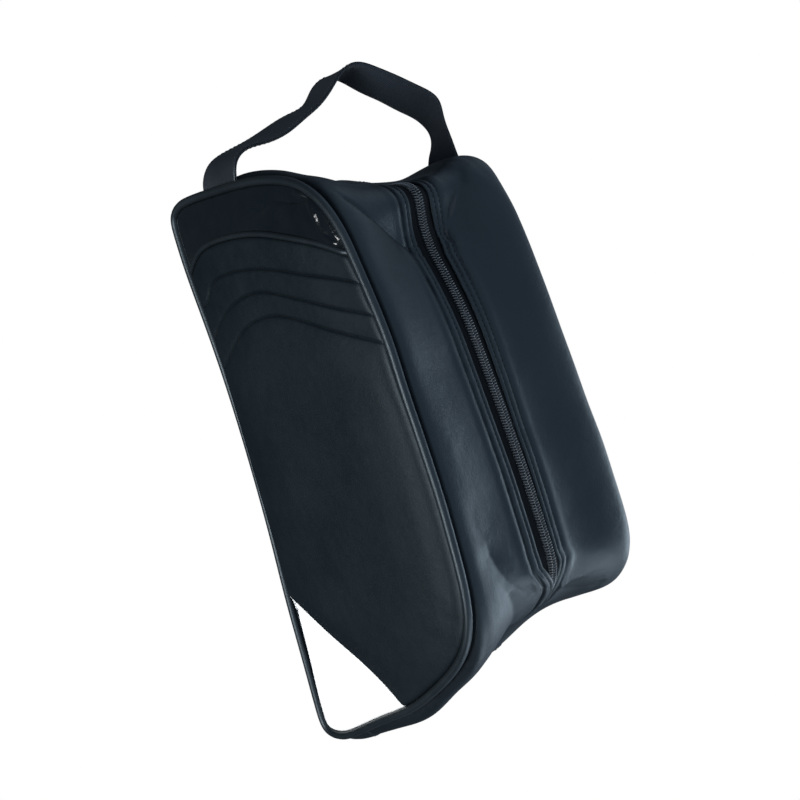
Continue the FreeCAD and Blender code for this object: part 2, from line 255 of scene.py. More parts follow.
# move the far outline inwards where its edge is rolled
_outline = Spline(RIBS[:, 4:6], True, KNOTS)
_tangent = unit(_outline(KNOTS[:-1] + 1e-4) - _outline(KNOTS[:-1] - 1e-4))
far_x += _tangent[:, 1] * FAR_ROLL * FAR_ROLLS
far_z -= _tangent[:, 0] * FAR_ROLL * FAR_ROLLS

NEAR = Spline(np.c_[near_x, near_y, near_z], True, KNOTS)
MID = Spline(np.c_[RIBS[:, 2], 0 * near_y, RIBS[:, 3]], True, KNOTS)
FAR = Spline(np.c_[far_x, far_y, far_z], True, KNOTS)
EDGE = {-1: NEAR, 1: FAR}
SHOULDER = Spline(np.c_[RIBS[:, 6:8], FAR_ROLLS], True, KNOTS)


def rib_u(rib):
    return float(np.interp(rib, range(RIB_COUNT), KNOTS[:-1]))


# upper edges of the base band, at the strap end and the plain end
U_STRAP, U_PLAIN = rib_u(8.65), rib_u(34.1)


def outward(curve, u):
    """Normal of a skeleton curve in the x-z plane, away from the bag."""
    u = np.asarray(u)
    t = curve(u + 1e-4) - curve(u - 1e-4)
    n = np.stack([-t[..., 2], 0 * t[..., 0], t[..., 0]], -1)
    return n / (np.linalg.norm(n, axis=-1, keepdims=True) + 1e-12)


# x, and |y| of the folded edge beside the zip at that x
FLANGE = {
    -1: ([-145, -128, -109, -104, -60, 20, 70, 80, 86, 91, 95],
         [8.0, 8.1, 9.3, 8.5, 8.7, 8.7, 8.8, 7.6, 4.0, 0.2, -1.4]),
    1: ([-145, -112, -106, -100, -50, 13, 60, 75, 81, 89, 95, 100],
        [9.2, 9.5, 9.9, 8.6, 7.6, 5.8, 4.8, 5.0, 6.8, 5.4, 3.2, 2.6])}
FIRST_ROW = 1.9                   # stitch rows, from the folded edge
SECOND_ROW = {-1: 6.6, 1: 5.9}


def flange_y(u, side):
    """Folded edge of the strip beside the zip, |y| from the middle."""
    x, z = MID(u)[..., 0], MID(u)[..., 2]
    top = smooth((z - 120) / 40)
    xs, ys = FLANGE[side]
    return np.interp(x, xs, ys) * top + np.where(x < 0, 8.4, ys[-1]) * (1 - top)


# Creases on the top, as (x, y) in plan.
NEAR_STRAP_LINE = [(-147, -54), (-139.3, -46.4), (-131.8, -40.8), (-125.1, -34.0),
                   (-116.4, -25.0), (-108.8, -17.6), (-104.3, -12.0)]
NEAR_PLAIN_LINE_1 = [(52, -42), (62, -40), (70, -37.5), (78.6, -32.4), (88.4, -21.5), (94, -12)]
NEAR_PLAIN_LINE_2 = [(84, -34.5), (92, -30), (100, -25.1), (108, -21), (115.6, -17.5)]
FAR_STRAP_LINE = [(-142, 40), (-132.3, 29), (-122.4, 22), (-114, 16.5), (-106.5, 11.0)]
FAR_STRAP_RIDGE = [(-142.4, 14.3), (-143.7, 24.5), (-144.8, 33.0), (-146.1, 39.5), (-147, 47)]
FAR_PLAIN_RIDGE = [(96, 6), (97.3, 11.5), (96.2, 20.2), (95.3, 31.0)]
FAR_PLAIN_LINE = [(99, 12), (104, 22), (106, 34), (104, 48)]
# line, depth (negative for a ridge), width to the left of its run, to the right
CREASES = {
    -1: [(NEAR_STRAP_LINE, 2.2, 11, 4.5), (NEAR_STRAP_LINE, 1.3, 0.9, 0.8),
         (NEAR_PLAIN_LINE_1, 1.7, 4.5, 7.5), (NEAR_PLAIN_LINE_2, 1.8, 4.5, 7.0)],
    1: [(FAR_STRAP_LINE, 3.4, 9, 6), (FAR_STRAP_RIDGE, -1.6, 6, 9),
        (FAR_PLAIN_RIDGE, -1.6, 5, 3.5), (FAR_PLAIN_LINE, 1.8, 6, 7)]}


def crease(x, y, line, depth, left_width, right_width):
    """Valley along a line, sharp at the line and fading at its two ends."""
    line = resample(line, step=1.5)
    best = np.full(x.shape, 1e9)
    turn = np.ones(x.shape)
    along = np.zeros(x.shape)
    for i in range(len(line) - 1):
        mid = (line[i] + line[i + 1]) / 2
        chord = line[i + 1] - line[i]
        square = (x - mid[0]) ** 2 + (y - mid[1]) ** 2
        cross = chord[0] * (y - mid[1]) - chord[1] * (x - mid[0])
        closer = square < best
        best = np.where(closer, square, best)
        turn = np.where(closer, np.sign(cross), turn)
        along = np.where(closer, i / (len(line) - 1), along)
    width = np.where(turn > 0, left_width, right_width)
    ends = smooth(along / 0.18) * smooth((1 - along) / 0.12)
    return -depth * bell(line_distance(x, y, line), width, 1.25) * (0.25 + 0.75 * ends)


def flange_relief(x, y, z, flange, side):
    """Height of the folded strip beside the zip: padded, with two sewn grooves."""
    near = side < 0
    second = SECOND_ROW[side]
    from_fold = np.abs(y) - flange
    squeezed = np.stack([x, y * 0.3, z], -1)
    fine = noise(squeezed, 2.6, 71)
    slow = noise(squeezed, 11.0, 73)
    edge = 0.22 * bell(from_fold - 0.6, 0.6)
    middle = (0.50 if near else 0.35) * bell(from_fold - 0.5 * (FIRST_ROW + second), 1.5, 4)
    middle = middle * (1 + 0.35 * fine + 0.3 * slow)
    groove_1 = (0.50 + 0.12 * fine) * bell(np.abs(from_fold - FIRST_ROW), 0.48, 1.6)
    groove_2 = (1.25 if near else 0.90) * (1 + 0.25 * fine + 0.25 * slow)
    groove_2 = groove_2 * bell(np.abs(from_fold - second), 0.75, 1.4)
    rise = (0.7 if near else 0.45) * bell(from_fold - second - 3.4, 2.6)
    height = edge + middle - groove_1 - groove_2 + rise
    if near:
        # the near strip laps over the middle past the plain end of the zip
        height = height + 1.9 * smooth((9.0 - flange) / 6.0) * bell(past(from_fold, 0), 9.0)
        # two short grooves across it near the strap end
        cuts = (bell(np.abs(x + 108.6 + 0.12 * from_fold), 0.7, 1.5)
                + 0.8 * bell(np.abs(x + 103.0 - 0.2 * from_fold), 0.7, 1.5))
        height = height - 0.7 * cuts * smooth((9.5 - from_fold) / 2.5) * smooth((z - 140) / 10)
    return height


def gusset(u, d, side, lift=0.0, detail=True, flange=None):
    """Points and normals of the gusset's outer face. u runs round the bag and d
    from the piping seam (0) to the middle (HALF)."""
    u, d = np.broadcast_arrays(np.asarray(u, float), np.asarray(d, float))
    edge = EDGE[side](u)
    part = d / HALF
    # a broad sag between the shoulder and the zip
    mix = (0.32 * part + 0.68 * smooth(part))[..., None]
    points = edge * (1 - mix) + MID(u) * mix
    normals = unit(outward(EDGE[side], u) * (1 - mix) + outward(MID, u) * mix)
    y = side * (np.abs(edge[..., 1]) - SEAM_INSET) * (1 - part)
    near_bulge, far_bulge, rolled = np.moveaxis(SHOULDER(u), -1, 0)
    bulge = near_bulge if side < 0 else far_bulge
    bump = bulge * (1 - bell(d, 3.4, 1.5)) * bell(past(d, 7), 13 + 1.2 * bulge)
    if side > 0:
        # where the far edge is rolled, a higher bump leans out over the piping
        rolled = np.clip(rolled, 0, 1)
        high = 9.2 * (1 - bell(d, 3.9, 1.5)) * bell(past(d, 9), 19)
        bump = bump * (1 - rolled) + high * rolled
        y = y + rolled * FAR_ROLL * smooth(d / 4.6) * bell(past(d, 5.2), 8.5)
    height = -2.4 * bell(d, 1.5) + bump + lift
    x, z = points[..., 0], points[..., 2]
    if detail:
        top = smooth((z - 140) / 14)
        for line, depth, left_width, right_width in CREASES[side]:
            height = height + top * crease(x, y, line, depth, left_width, right_width)
        at = np.stack([x, y, z], -1)
        waves = 0.55 * noise(at, 46, 3) + 0.28 * noise(at, 21, 5) + 0.10 * noise(at, 9, 7)
        height = height + smooth((d - 6) / 10) * waves * (0.7 + 0.3 * top)
    if flange is not None:
        height = height + flange_relief(x, y, z, flange, side)
    points = points + normals * height[..., None]
    points[..., 1] = y
    return points, normals


# =============================================================================
# meshes
# =============================================================================


def mesh_obj(name, verts, faces, uvs=None, smooth_on=True):
    mesh = bpy.data.meshes.new(name)
    mesh.from_pydata([tuple(v) for v in np.asarray(verts) * MM], [],
                     [tuple(int(i) for i in face) for face in faces])
    mesh.update()
    if uvs is not None:
        layer = mesh.uv_layers.new(name="UVMap")
        index = np.zeros(len(mesh.loops), np.int32)
        mesh.loops.foreach_get("vertex_index", index)
        layer.data.foreach_set("uv", np.asarray(uvs, np.float32)[index].ravel())
    obj = bpy.data.objects.new(name, mesh)
    scene.collection.objects.link(obj)
    if smooth_on:
        mesh.polygons.foreach_set("use_smooth", np.ones(len(mesh.polygons), bool))
    return obj


def grid_faces(rows, cols, closed_rows=False, closed_cols=False, flip=False):
    i, j = np.meshgrid(np.arange(rows if closed_rows else rows - 1),
                       np.arange(cols if closed_cols else cols - 1), indexing="ij")
    next_i, next_j = (i + 1) % rows, (j + 1) % cols
    quads = np.stack([i * cols + j, next_i * cols + j,
                      next_i * cols + next_j, i * cols + next_j], -1).reshape(-1, 4)
    return quads[:, ::-1] if flip else quads


def uv_grid(along, over):
    return np.stack(np.meshgrid(along, over, indexing="ij"), -1).reshape(-1, 2)


def grid_obj(name, points, flip=False, closed=False):
    """Sheet from a grid of points; an open one has UVs in millimetres."""
    rows, cols = points.shape[:2]
    uvs = None
    if not closed:
        uvs = uv_grid(travel(points[:, cols // 2]), travel(points[rows // 2]))
    return mesh_obj(name, points.reshape(-1, 3), grid_faces(rows, cols, closed, flip=flip), uvs)


def thicken(obj, thickness, offset):
    """Closed sheet; offset -1 grows it inwards from the shown face."""
    solid = obj.modifiers.new("thick", "SOLIDIFY")
    solid.thickness = thickness * MM
    solid.offset = offset
    solid.use_rim = True
    graph = bpy.context.evaluated_depsgraph_get()
    graph.update()
    mesh = bpy.data.meshes.new_from_object(obj.evaluated_get(graph), depsgraph=graph)
    old = obj.data
    obj.modifiers.clear()
    obj.data = mesh
    mesh.name = obj.name
    bpy.data.meshes.remove(old)


def frames(line, hint, closed=False):
    """Side and up vectors along a polyline, up kept near hint."""
    if closed:
        tangent = np.roll(line, -1, 0) - np.roll(line, 1, 0)
    else:
        tangent = np.gradient(line, axis=0)
    tangent = unit(tangent)
    up = across(hint, tangent)
    return np.cross(tangent, up), up


def capped_faces(rows, seg):
    faces = list(grid_faces(rows, seg, False, True, flip=True))
    return faces + [range(seg), range((rows - 1) * seg, rows * seg)[::-1]]


def tube(name, line, radius, seg, closed=False, hint=None):
    count = len(line)
    hint = np.tile([0, 1.0, 0], (count, 1)) if hint is None else hint
    side, up = frames(line, hint, closed)
    angle = np.linspace(0, 2 * math.pi, seg, endpoint=False)[None, :, None]
    points = line[:, None] + radius * (np.cos(angle) * side[:, None] + np.sin(angle) * up[:, None])
    faces = grid_faces(count, seg, True, True, flip=True) if closed else capped_faces(count, seg)
    uvs = uv_grid(travel(line), np.arange(seg) / seg * 2 * math.pi * radius)
    return mesh_obj(name, points.reshape(-1, 3), faces, uvs)


def loft(rings, closed=False, caps=True):
    """Vertices and faces of a skin over rings of points."""
    rings = np.asarray(rings)
    rows, seg = rings.shape[:2]
    faces = np.roll(grid_faces(rows, seg, closed, True, flip=True), 1, axis=1).tolist()
    if caps:
        faces += [range(seg)[::-1], range((rows - 1) * seg, rows * seg)]
    return rings.reshape(-1, 3), faces


def join(parts):
    """One set of vertices and faces from several."""
    verts, faces = [], []
    for part_verts, part_faces in parts:
        base = len(verts)
        verts.extend(part_verts)
        faces += [[base + i for i in face] for face in part_faces]
    return np.array(verts), faces


def stitch_row(line, normals, pitch, length, radius, sink):
    """Thread stitches along a line: crowned capsules with their ends in the cloth."""
    run = travel(line)
    count = int(run[-1] / pitch)
    margin = (run[-1] - count * pitch) / 2
    along = np.linspace(-0.5, 0.5, 6)
    reach = np.abs(along) * 2
    girth = radius * np.sqrt(np.clip(1 - reach ** 4, 0.05, 1))[:, None, None]
    lift = radius * (0.55 - 1.9 * reach ** 3) - sink
    angle = (2 * math.pi * np.arange(6) / 6)[:, None]
    parts = []
    for i in range(count):
        centre = margin + (i + 0.5) * pitch
        points = pick(centre + along * length, run, line)
        up = unit(pick(centre, run, normals))
        side = unit(np.cross(unit(points[-1] - points[0]), up))
        core = points + up * lift[:, None]
        parts.append(loft(core[:, None] + girth * (np.cos(angle) * side + np.sin(angle) * up)))
    return parts


def shade(obj, material):
    obj.data.materials.clear()
    obj.data.materials.append(material)


def blend_in(obj, body, start, end, weight):
    """Bake a piece's transform and work out a weight for each vertex; the weights are not applied."""
    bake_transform(obj)
    co = np.zeros(len(obj.data.vertices) * 3, np.float32)
    obj.data.vertices.foreach_get("co", co)
    values = weight(co.reshape(-1, 3).astype(float) / MM)


def fit(obj, material, slot, *replaces, motion="bag", thick=None, offset=-1.0):
    """Finish a piece. motion is the body it rides on, or the settings of a blend, which is not carried out:
    the piece's transform is only baked.
    """
    if thick:
        thicken(obj, thick, offset)
    shade(obj, material)
    if isinstance(motion, str):
        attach(obj, motion)
    else:
        blend_in(obj, *motion)
    if replaces:
        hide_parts(*replaces)


# =============================================================================
# materials: procedural, no image textures
# =============================================================================


class Nodes:
    """The node tree of a material or world."""

    def __init__(self, owner):
        owner.use_nodes = True
        self.tree = owner.node_tree
        self.tree.nodes.clear()

    def put(self, socket, value):
        """Link a socket, or set a plain value."""
        if isinstance(value, bpy.types.NodeSocket):
            self.tree.links.new(value, socket)
        else:
            socket.default_value = value

    def node(self, kind, inputs=None, **settings):
        node = self.tree.nodes.new(kind)
        for key, value in settings.items():
            setattr(node, key, value)
        for key, value in (inputs or {}).items():
            self.put(node.inputs[key], value)
        return node

    def remap(self, value, start, end):
        """Map the range start to the range end."""
        inputs = dict(enumerate((value, *start, *end)))
        return self.node("ShaderNodeMapRange", inputs).outputs[0]

    def ramp(self, value, stops):
        """Colour ramp from (position, colour) stops."""
        node = self.node("ShaderNodeValToRGB")
        elements = node.color_ramp.elements
        for element, (position, color) in zip(elements, (stops[0], stops[-1])):
            element.position = position
            element.color = (*color, 1)
        for position, color in stops[1:-1]:
            elements.new(position).color = (*color, 1)
        self.put(node.inputs[0], value)
        return node.outputs[0]


class Shader(Nodes):
    """A material with one Principled shader."""

    def __init__(self, name):
        self.material = bpy.data.materials.new(name)
        super().__init__(self.material)
        output = self.node("ShaderNodeOutputMaterial")
        self.principled = self.node("ShaderNodeBsdfPrincipled")
        self.put(output.inputs[0], self.principled.outputs[0])
        self.normal = None

    def set(self, **values):
        for key, value in values.items():
            self.put(self.principled.inputs[key.replace("_", " ")], value)

    def coords(self, space="Object", scale=(1, 1, 1), turn=(0, 0, 0)):
        source = self.node("ShaderNodeTexCoord").outputs[space]
        return self.node("ShaderNodeMapping", {0: source, "Scale": scale, "Rotation": turn}).outputs[0]

    def noise(self, at, scale, detail=3.0, rough=0.55, distort=0.0):
        return self.node("ShaderNodeTexNoise", {
            "Vector": at, "Scale": scale, "Detail": detail, "Roughness": rough,
            "Distortion": distort}).outputs[0]

    def cells(self, at, scale):
        return self.node("ShaderNodeTexVoronoi", {"Vector": at, "Scale": scale}).outputs["Distance"]

    def math(self, operation, *values):
        return self.node("ShaderNodeMath", dict(enumerate(values)), operation=operation).outputs[0]

    def phase(self, value, pitch):
        """Angle that turns once per pitch."""
        return self.math("MULTIPLY", value, 2 * math.pi / pitch)

    def axes(self, at):
        return self.node("ShaderNodeSeparateXYZ", {0: at}).outputs

    def bump(self, height, strength, distance):
        """Add a bump on top of those made before."""
        inputs = {"Strength": strength, "Distance": distance, "Height": height}
        if self.normal is not None:
            inputs["Normal"] = self.normal
        self.normal = self.node("ShaderNodeBump", inputs).outputs[0]
        self.set(Normal=self.normal)


MOTTLE = (0.3, 0.7)      # the part of a noise that carries colour and roughness


def two_tone(dark, light, low=MOTTLE[0], high=MOTTLE[1]):
    return [(low, dark), (high, light)]


def coated_cloth(name, dark, light, rough, specular, grain, coarse):
    """Coated cloth: fine pebble grain and slow mottling. grain and coarse are
    bump depths in metres."""
    m = Shader(name)
    at = m.coords()
    big = m.noise(at, scale=22, detail=4, rough=0.6)
    mid = m.noise(at, scale=160, detail=3, rough=0.6)
    m.set(Base_Color=m.ramp(big, two_tone(dark, light)))
    m.set(Roughness=m.math("ADD", m.remap(big, MOTTLE, rough), m.remap(mid, MOTTLE, (-0.03, 0.03))))
    m.set(Specular_IOR_Level=specular, Coat_Weight=0.0, Coat_Roughness=0.2)
    if dark[0] < 0.5:
        m.set(Specular_Tint=(0.74, 0.90, 1.0, 1))    # cool highlights on the dark cloths
    cells = m.cells(at, scale=2300)
    fine = m.noise(at, scale=5200, detail=2, rough=0.6)
    slow = m.noise(at, scale=190, detail=4, rough=0.55, distort=0.4)
    m.bump(slow, strength=0.5, distance=coarse)
    m.bump(cells, strength=0.55, distance=grain)
    m.bump(fine, strength=0.35, distance=grain * 0.6)
    return m.material


def patent(name):
    """Patent coat: mirror-like, with two sizes of stretched crinkle."""
    m = Shader(name)
    at = m.coords()
    big = m.noise(at, scale=30, detail=3, rough=0.55)
    m.set(Base_Color=m.ramp(big, two_tone((0.0022, 0.0045, 0.0068), (0.0036, 0.0064, 0.0090))))
    m.set(Roughness=m.remap(m.noise(at, scale=60, detail=3, rough=0.6), MOTTLE, (0.13, 0.24)))
    m.set(Specular_IOR_Level=0.62, Coat_Weight=0.55, Coat_Roughness=0.07)
    stretched = m.coords(scale=(1.0, 1.0, 0.42), turn=(0, 0.45, 0))
    wide = m.noise(stretched, scale=70, detail=4, rough=0.62, distort=1.1)
    stretched = m.coords(scale=(1, 1, 0.6), turn=(0, -0.3, 0))
    tight = m.noise(stretched, scale=210, detail=3, rough=0.6, distort=0.8)
    m.bump(wide, strength=0.55, distance=0.0016)
    m.bump(tight, strength=0.45, distance=0.00035)
    m.bump(m.cells(at, scale=2600), strength=0.12, distance=0.00008)
    return m.material


def uv_weave(name, dark, light, pitch, rough, depth, specular, sheen, twill=False):
    """Thread weave in the piece's UVs, pitch (u, v) in millimetres."""
    m = Shader(name)
    u, v = m.axes(m.coords("UV"))[:2]
    if twill:
        rib = m.math("SINE", m.math("ADD", m.phase(u, pitch[0]), m.phase(v, pitch[1])))
        counter = m.math("SINE", m.math("SUBTRACT", m.phase(u, pitch[0] * 0.5),
                                        m.phase(v, pitch[1] * 0.5)))
        weave = m.math("ADD", m.math("MULTIPLY", rib, 0.5), m.math("MULTIPLY", counter, 0.18))
    else:
        warp = m.math("SINE", m.phase(u, pitch[0]))
        weft = m.math("SINE", m.phase(v, pitch[1]))
        weave = m.math("MULTIPLY", m.math("MULTIPLY", warp, weft), 0.6)
    height = m.remap(weave, (-0.6, 0.6), (0, 1))
    fuzz = m.noise(m.coords(), scale=900, detail=3, rough=0.6)
    mix = m.math("ADD", m.math("MULTIPLY", height, 0.75), m.math("MULTIPLY", fuzz, 0.25))
    m.set(Base_Color=m.ramp(mix, two_tone(dark, light, low=0.2, high=0.85)))
    m.set(Roughness=m.remap(fuzz, MOTTLE, (rough - 0.06, rough + 0.06)))
    m.set(Specular_IOR_Level=specular, Sheen_Weight=sheen, Sheen_Roughness=0.45)
    m.bump(height, strength=0.8, distance=depth)
    m.bump(fuzz, strength=0.3, distance=depth * 0.6)
    return m.material


def plain_cloth(name, dark, light, rough, pitch=0.0005, depth=0.0001, axes=(0, 2),
                specular=0.25, sheen=0.15):
    """Plain weave along two object axes, pitch and depth in metres."""
    m = Shader(name)
    at = m.coords()
    place = m.axes(at)
    warp = m.math("SINE", m.phase(place[axes[0]], pitch))
    weft = m.math("SINE", m.phase(place[axes[1]], pitch))
    weave = m.remap(m.math("MULTIPLY", warp, weft), (-1, 1), (0, 1))
    big = m.noise(at, scale=40, detail=3, rough=0.6)
    mix = m.math("ADD", m.math("MULTIPLY", weave, 0.4), m.math("MULTIPLY", big, 0.6))
    m.set(Base_Color=m.ramp(mix, two_tone(dark, light, low=0.25, high=0.8)))
    m.set(Roughness=m.remap(big, MOTTLE, (rough - 0.05, rough + 0.05)))
    m.set(Specular_IOR_Level=specular, Sheen_Weight=sheen, Sheen_Roughness=0.5)
    m.bump(weave, strength=0.6, distance=depth)
    m.bump(m.noise(at, scale=1200, detail=2, rough=0.6), strength=0.3, distance=depth)
    return m.material


def hard(name, dark, light, rough, metallic, coat):
    """Lacquered metal or bare nylon."""
    m = Shader(name)
    big = m.noise(m.coords(), scale=260, detail=4, rough=0.6)
    m.set(Base_Color=m.ramp(big, two_tone(dark, light)))
    m.set(Roughness=m.remap(big, MOTTLE, rough))
    m.set(Metallic=metallic, Coat_Weight=coat, Coat_Roughness=0.15)
    streaks = m.noise(m.coords(scale=(1, 1, 6)), scale=2500, detail=2, rough=0.5)
    m.bump(streaks, strength=0.2, distance=0.00004)
    m.bump(big, strength=0.2, distance=0.00008)
    return m.material


PU = coated_cloth("pu_matte_gusset", (0.0036, 0.0058, 0.0082), (0.0050, 0.0078, 0.0108),
                  rough=(0.38, 0.48), specular=0.50, grain=0.00010, coarse=0.00045)
PU_SIDE = coated_cloth("pu_matte_side", (0.0018, 0.0042, 0.0064), (0.0026, 0.0054, 0.0080),
                       rough=(0.48, 0.58), specular=0.34, grain=0.00010, coarse=0.0003)
PU_PIPING = coated_cloth("pu_piping", (0.0060, 0.0090, 0.0115), (0.0085, 0.0120, 0.0150),
                         rough=(0.38, 0.48), specular=0.5, grain=0.00007, coarse=0.00012)
PU_WHITE = coated_cloth("pu_white", (0.90, 0.90, 0.90), (0.95, 0.95, 0.95),
                        rough=(0.42, 0.52), specular=0.4, grain=0.00008, coarse=0.0002)
PU_STRAP = coated_cloth("pu_strap_face", (0.0110, 0.0135, 0.0180), (0.0160, 0.0190, 0.0250),
                        rough=(0.42, 0.52), specular=0.5, grain=0.00009, coarse=0.0003)
PATENT = patent("patent_gloss")
TWILL = uv_weave("webbing_twill", (0.0022, 0.0068, 0.0135), (0.0065, 0.0150, 0.0260),
                 pitch=(1.5, 1.5), rough=0.62, depth=0.00022, specular=0.3, sheen=0.12, twill=True)
TAPE = uv_weave("zip_tape_weave", (0.0030, 0.0042, 0.0055), (0.0070, 0.0092, 0.0115),
                pitch=(0.9, 1.3), rough=0.80, depth=0.00012, specular=0.12, sheen=0.04)
LINING = plain_cloth("lining_weave", (0.018, 0.022, 0.026), (0.035, 0.041, 0.047), rough=0.75)
BOARD = plain_cloth("board_weave", (0.014, 0.016, 0.019), (0.026, 0.029, 0.034), rough=0.8,
                    axes=(0, 1))
COIL = hard("coil_nylon", (0.030, 0.036, 0.042), (0.046, 0.054, 0.062), rough=(0.22, 0.30),
            metallic=0.0, coat=0.7)
METAL = hard("slider_lacquer", (0.012, 0.013, 0.015), (0.020, 0.021, 0.023), rough=(0.28, 0.42),
             metallic=0.55, coat=0.5)
THREAD = plain_cloth("thread", (0.006, 0.008, 0.010), (0.014, 0.017, 0.021), rough=0.6,
                     pitch=0.0004, depth=0.00006)
# Near-black stitch thread: partly the thread's own dark colour, partly painted shade of the stitched grooves
# the rows lie in.
THREAD_WITH_GROOVE_SHADE = plain_cloth("thread_with_painted_groove_shade", (0.0002, 0.0004, 0.0006), (0.0006, 0.0010, 0.0014),
                          rough=0.85, pitch=0.0004, depth=0.00006, specular=0.04, sheen=0.0)

# =============================================================================
# gusset above the base band, in two halves beside the zip
# =============================================================================
NOMINAL_FLANGE = 8.6              # fold position that the column spacing is set for
LIP_START = (-112.0, -72.0)       # x over which the lips' movement fades in
LIP_END = (68.0, 103.0)           # and out
FOLD_RADIUS = 0.8


def u_samples(start, end, step, count=900, curves=(MID, NEAR)):
    """u values about step apart on whichever curve is longer there."""
    u = np.linspace(start, end, count)
    chords = [np.linalg.norm(np.diff(curve(u), axis=0), axis=1) for curve in curves]
    run = np.r_[0, np.cumsum(np.max(chords, axis=0))]
    return np.interp(np.linspace(0, run[-1], int(run[-1] / step) + 1), run, u)


def lip_weight(points):
    """1 where a piece follows its lip, fading over the hinge and the ends."""
    x, y, z = points.T
    along = (smooth((x - LIP_START[0]) / (LIP_START[1] - LIP_START[0]))
             * smooth((LIP_END[1] - x) / (LIP_END[1] - LIP_END[0])))
    return along * smooth((59.0 - np.abs(y)) / 4.5) * smooth((z - 140) / 12)


LIP = {side: (f"{SIDE_NAME[side]}_lip", (0, side * 0.059, 0.17), (0, side * 0.0545, 0.17),
              lip_weight) for side in SIDES}
STRIP_U = u_samples(U_STRAP, U_PLAIN, 1.1)


def strip_points(side):
    """Skin from the seam to the folded edge, round the fold and back underneath."""
    fold = flange_y(STRIP_U, side)
    reach = HALF - NOMINAL_FLANGE
    # columns are close together at the shoulder and at the flange
    d = np.r_[np.linspace(0, 3.0, 7), np.linspace(3.9, reach - 12.0, 36),
              np.linspace(reach - 11.4, reach - 4.0, 15), np.linspace(reach - 3.6, reach, 12)]
    # the outer ones stretch so that the last is always on the fold
    d = d + (NOMINAL_FLANGE - fold)[:, None] * smooth((d - 10) / (reach - 10))
    skin, normals = gusset(STRIP_U[:, None], d, side, flange=fold[:, None])
    last, up = skin[:, -1], normals[:, -1]
    inward = np.zeros_like(last)
    inward[:, 1] = -side
    columns = list(np.moveaxis(skin, 1, 0))
    for angle in np.radians((35, 70, 105, 140, 175)):
        columns.append(last - up * FOLD_RADIUS
                       + FOLD_RADIUS * (math.cos(angle) * up + math.sin(angle) * inward))
    offset = (last - gusset(STRIP_U, HALF - fold, side)[0]) * np.array([1.0, 0, 1.0])
    for back in (1.5, 4.0, 7.0, 10.5):
        under, _ = gusset(STRIP_U, HALF - fold - back, side, lift=-1.6)
        columns.append(under + offset * math.exp(-back / 4.0))
    return np.stack(columns, 1)


def gusset_strip(side):
    name = SIDE_NAME[side]
    obj = grid_obj(f"{name}_gusset_strip", strip_points(side), flip=side > 0)
    fit(obj, PU, "pu_matte", f"{name}_gusset_strap_end", f"{name}_gusset_plain_end",
        f"{name}_zip_lip", motion=LIP[side], thick=0.7)


def flange_stitching(side):
    fold = flange_y(STRIP_U, side)
    parts = []
    for row in (FIRST_ROW, SECOND_ROW[side]):
        line, normals = gusset(STRIP_U, HALF - (fold + row), side, flange=fold)
        parts += stitch_row(line, normals, pitch=3.1, length=2.3, radius=0.24, sink=0.12)
    obj = mesh_obj(f"{SIDE_NAME[side]}_flange_stitching", *join(parts))
    # the near-black thread also paints the groove shade along the flange stitch rows
    fit(obj, THREAD_WITH_GROOVE_SHADE, "pu_matte", motion=LIP[side])


for side in SIDES:
    gusset_strip(side)
for side in SIDES:
    flange_stitching(side)

# =============================================================================
# zip: tapes, sewing lines, coils and end stops
# =============================================================================
# tape section: |y|, and height over the centre line
TAPE_Y = np.array([0.55, 1.0, 1.6, 2.4, 3.0, 3.3, 3.7, 5, 7, 9.5, 12.5])
TAPE_HEIGHT = np.array([-1.35, -1.25, -1.15, -1.1, -1.05, -1.25, -1.1, -1.35, -1.8, -2.2, -2.4])
COIL_PITCH = 1.55
STOP_INSET = 3.0                  # end stops, from the ends of the zip
tape_u = u_samples(U_STRAP - 0.001, U_PLAIN + 0.001, 1.6)
tape_line, tape_normals = MID(tape_u), outward(MID, tape_u)


def zip_tape(side):
    name = SIDE_NAME[side]
    points = tape_line[:, None] + tape_normals[:, None] * TAPE_HEIGHT[None, :, None]
    points[..., 1] = side * TAPE_Y
    obj = grid_obj(f"{name}_zip_tape_cloth", points, flip=side > 0)
    fit(obj, TAPE, "zip_tape", f"{name}_zip_tape_ends", f"{name}_zip_tape_top",
        motion=LIP[side], thick=0.45)
    # the row of thread that holds the coil to the tape
    line = tape_line - tape_normals * 0.55
    line[:, 1] = side * 3.05
    row = stitch_row(line, tape_normals, pitch=2.0, length=1.6, radius=0.2, sink=0.25)
    fit(mesh_obj(f"{name}_zip_sewing", *join(row)), THREAD, "zip_tape", motion=LIP[side])


for side in SIDES:
    zip_tape(side)

zip_u = np.linspace(U_STRAP, U_PLAIN, 2600)
zip_line = MID(zip_u)
zip_run = travel(zip_line)


def zip_coil(side):
    """Flattened helix; the two sides mesh half a turn apart."""
    name = SIDE_NAME[side]
    start, end = 2.0, zip_run[-1] - 2.0
    count = int((end - start) / COIL_PITCH * (12))
    along = np.linspace(start, end, count)
    u = np.interp(along, zip_run, zip_u)
    up = outward(MID, u)
    phase = 2 * math.pi * (along / COIL_PITCH) + (0 if side < 0 else math.pi)
    # the inner ends of the loops reach past the middle
    line = MID(u) + up * (-0.05 + 0.72 * np.sin(phase))[:, None]
    line[:, 1] = side * (1.45 + 1.62 * np.cos(phase))
    # where the wire runs nearly along the normal, y steers the tube instead
    steep = np.abs((up * unit(np.gradient(line, axis=0))).sum(1)) > 0.93
    hint = np.where(steep[:, None], np.array([0, 1.0, 0]), up)
    obj = tube(f"{name}_zip_coil_loops", line, 0.38, 5, hint=hint)
    fit(obj, COIL, "zip_coil", f"{name}_zip_coil_ends", f"{name}_zip_coil_top", motion=LIP[side])


for side in SIDES:
    zip_coil(side)


def zip_pose(distance):
    """Point, tangent and normal of the zip at a distance from its strap end."""
    u = float(np.interp(distance, zip_run, zip_u))
    return MID(u), unit(MID(u + 2e-4) - MID(u - 2e-4)), outward(MID, u)


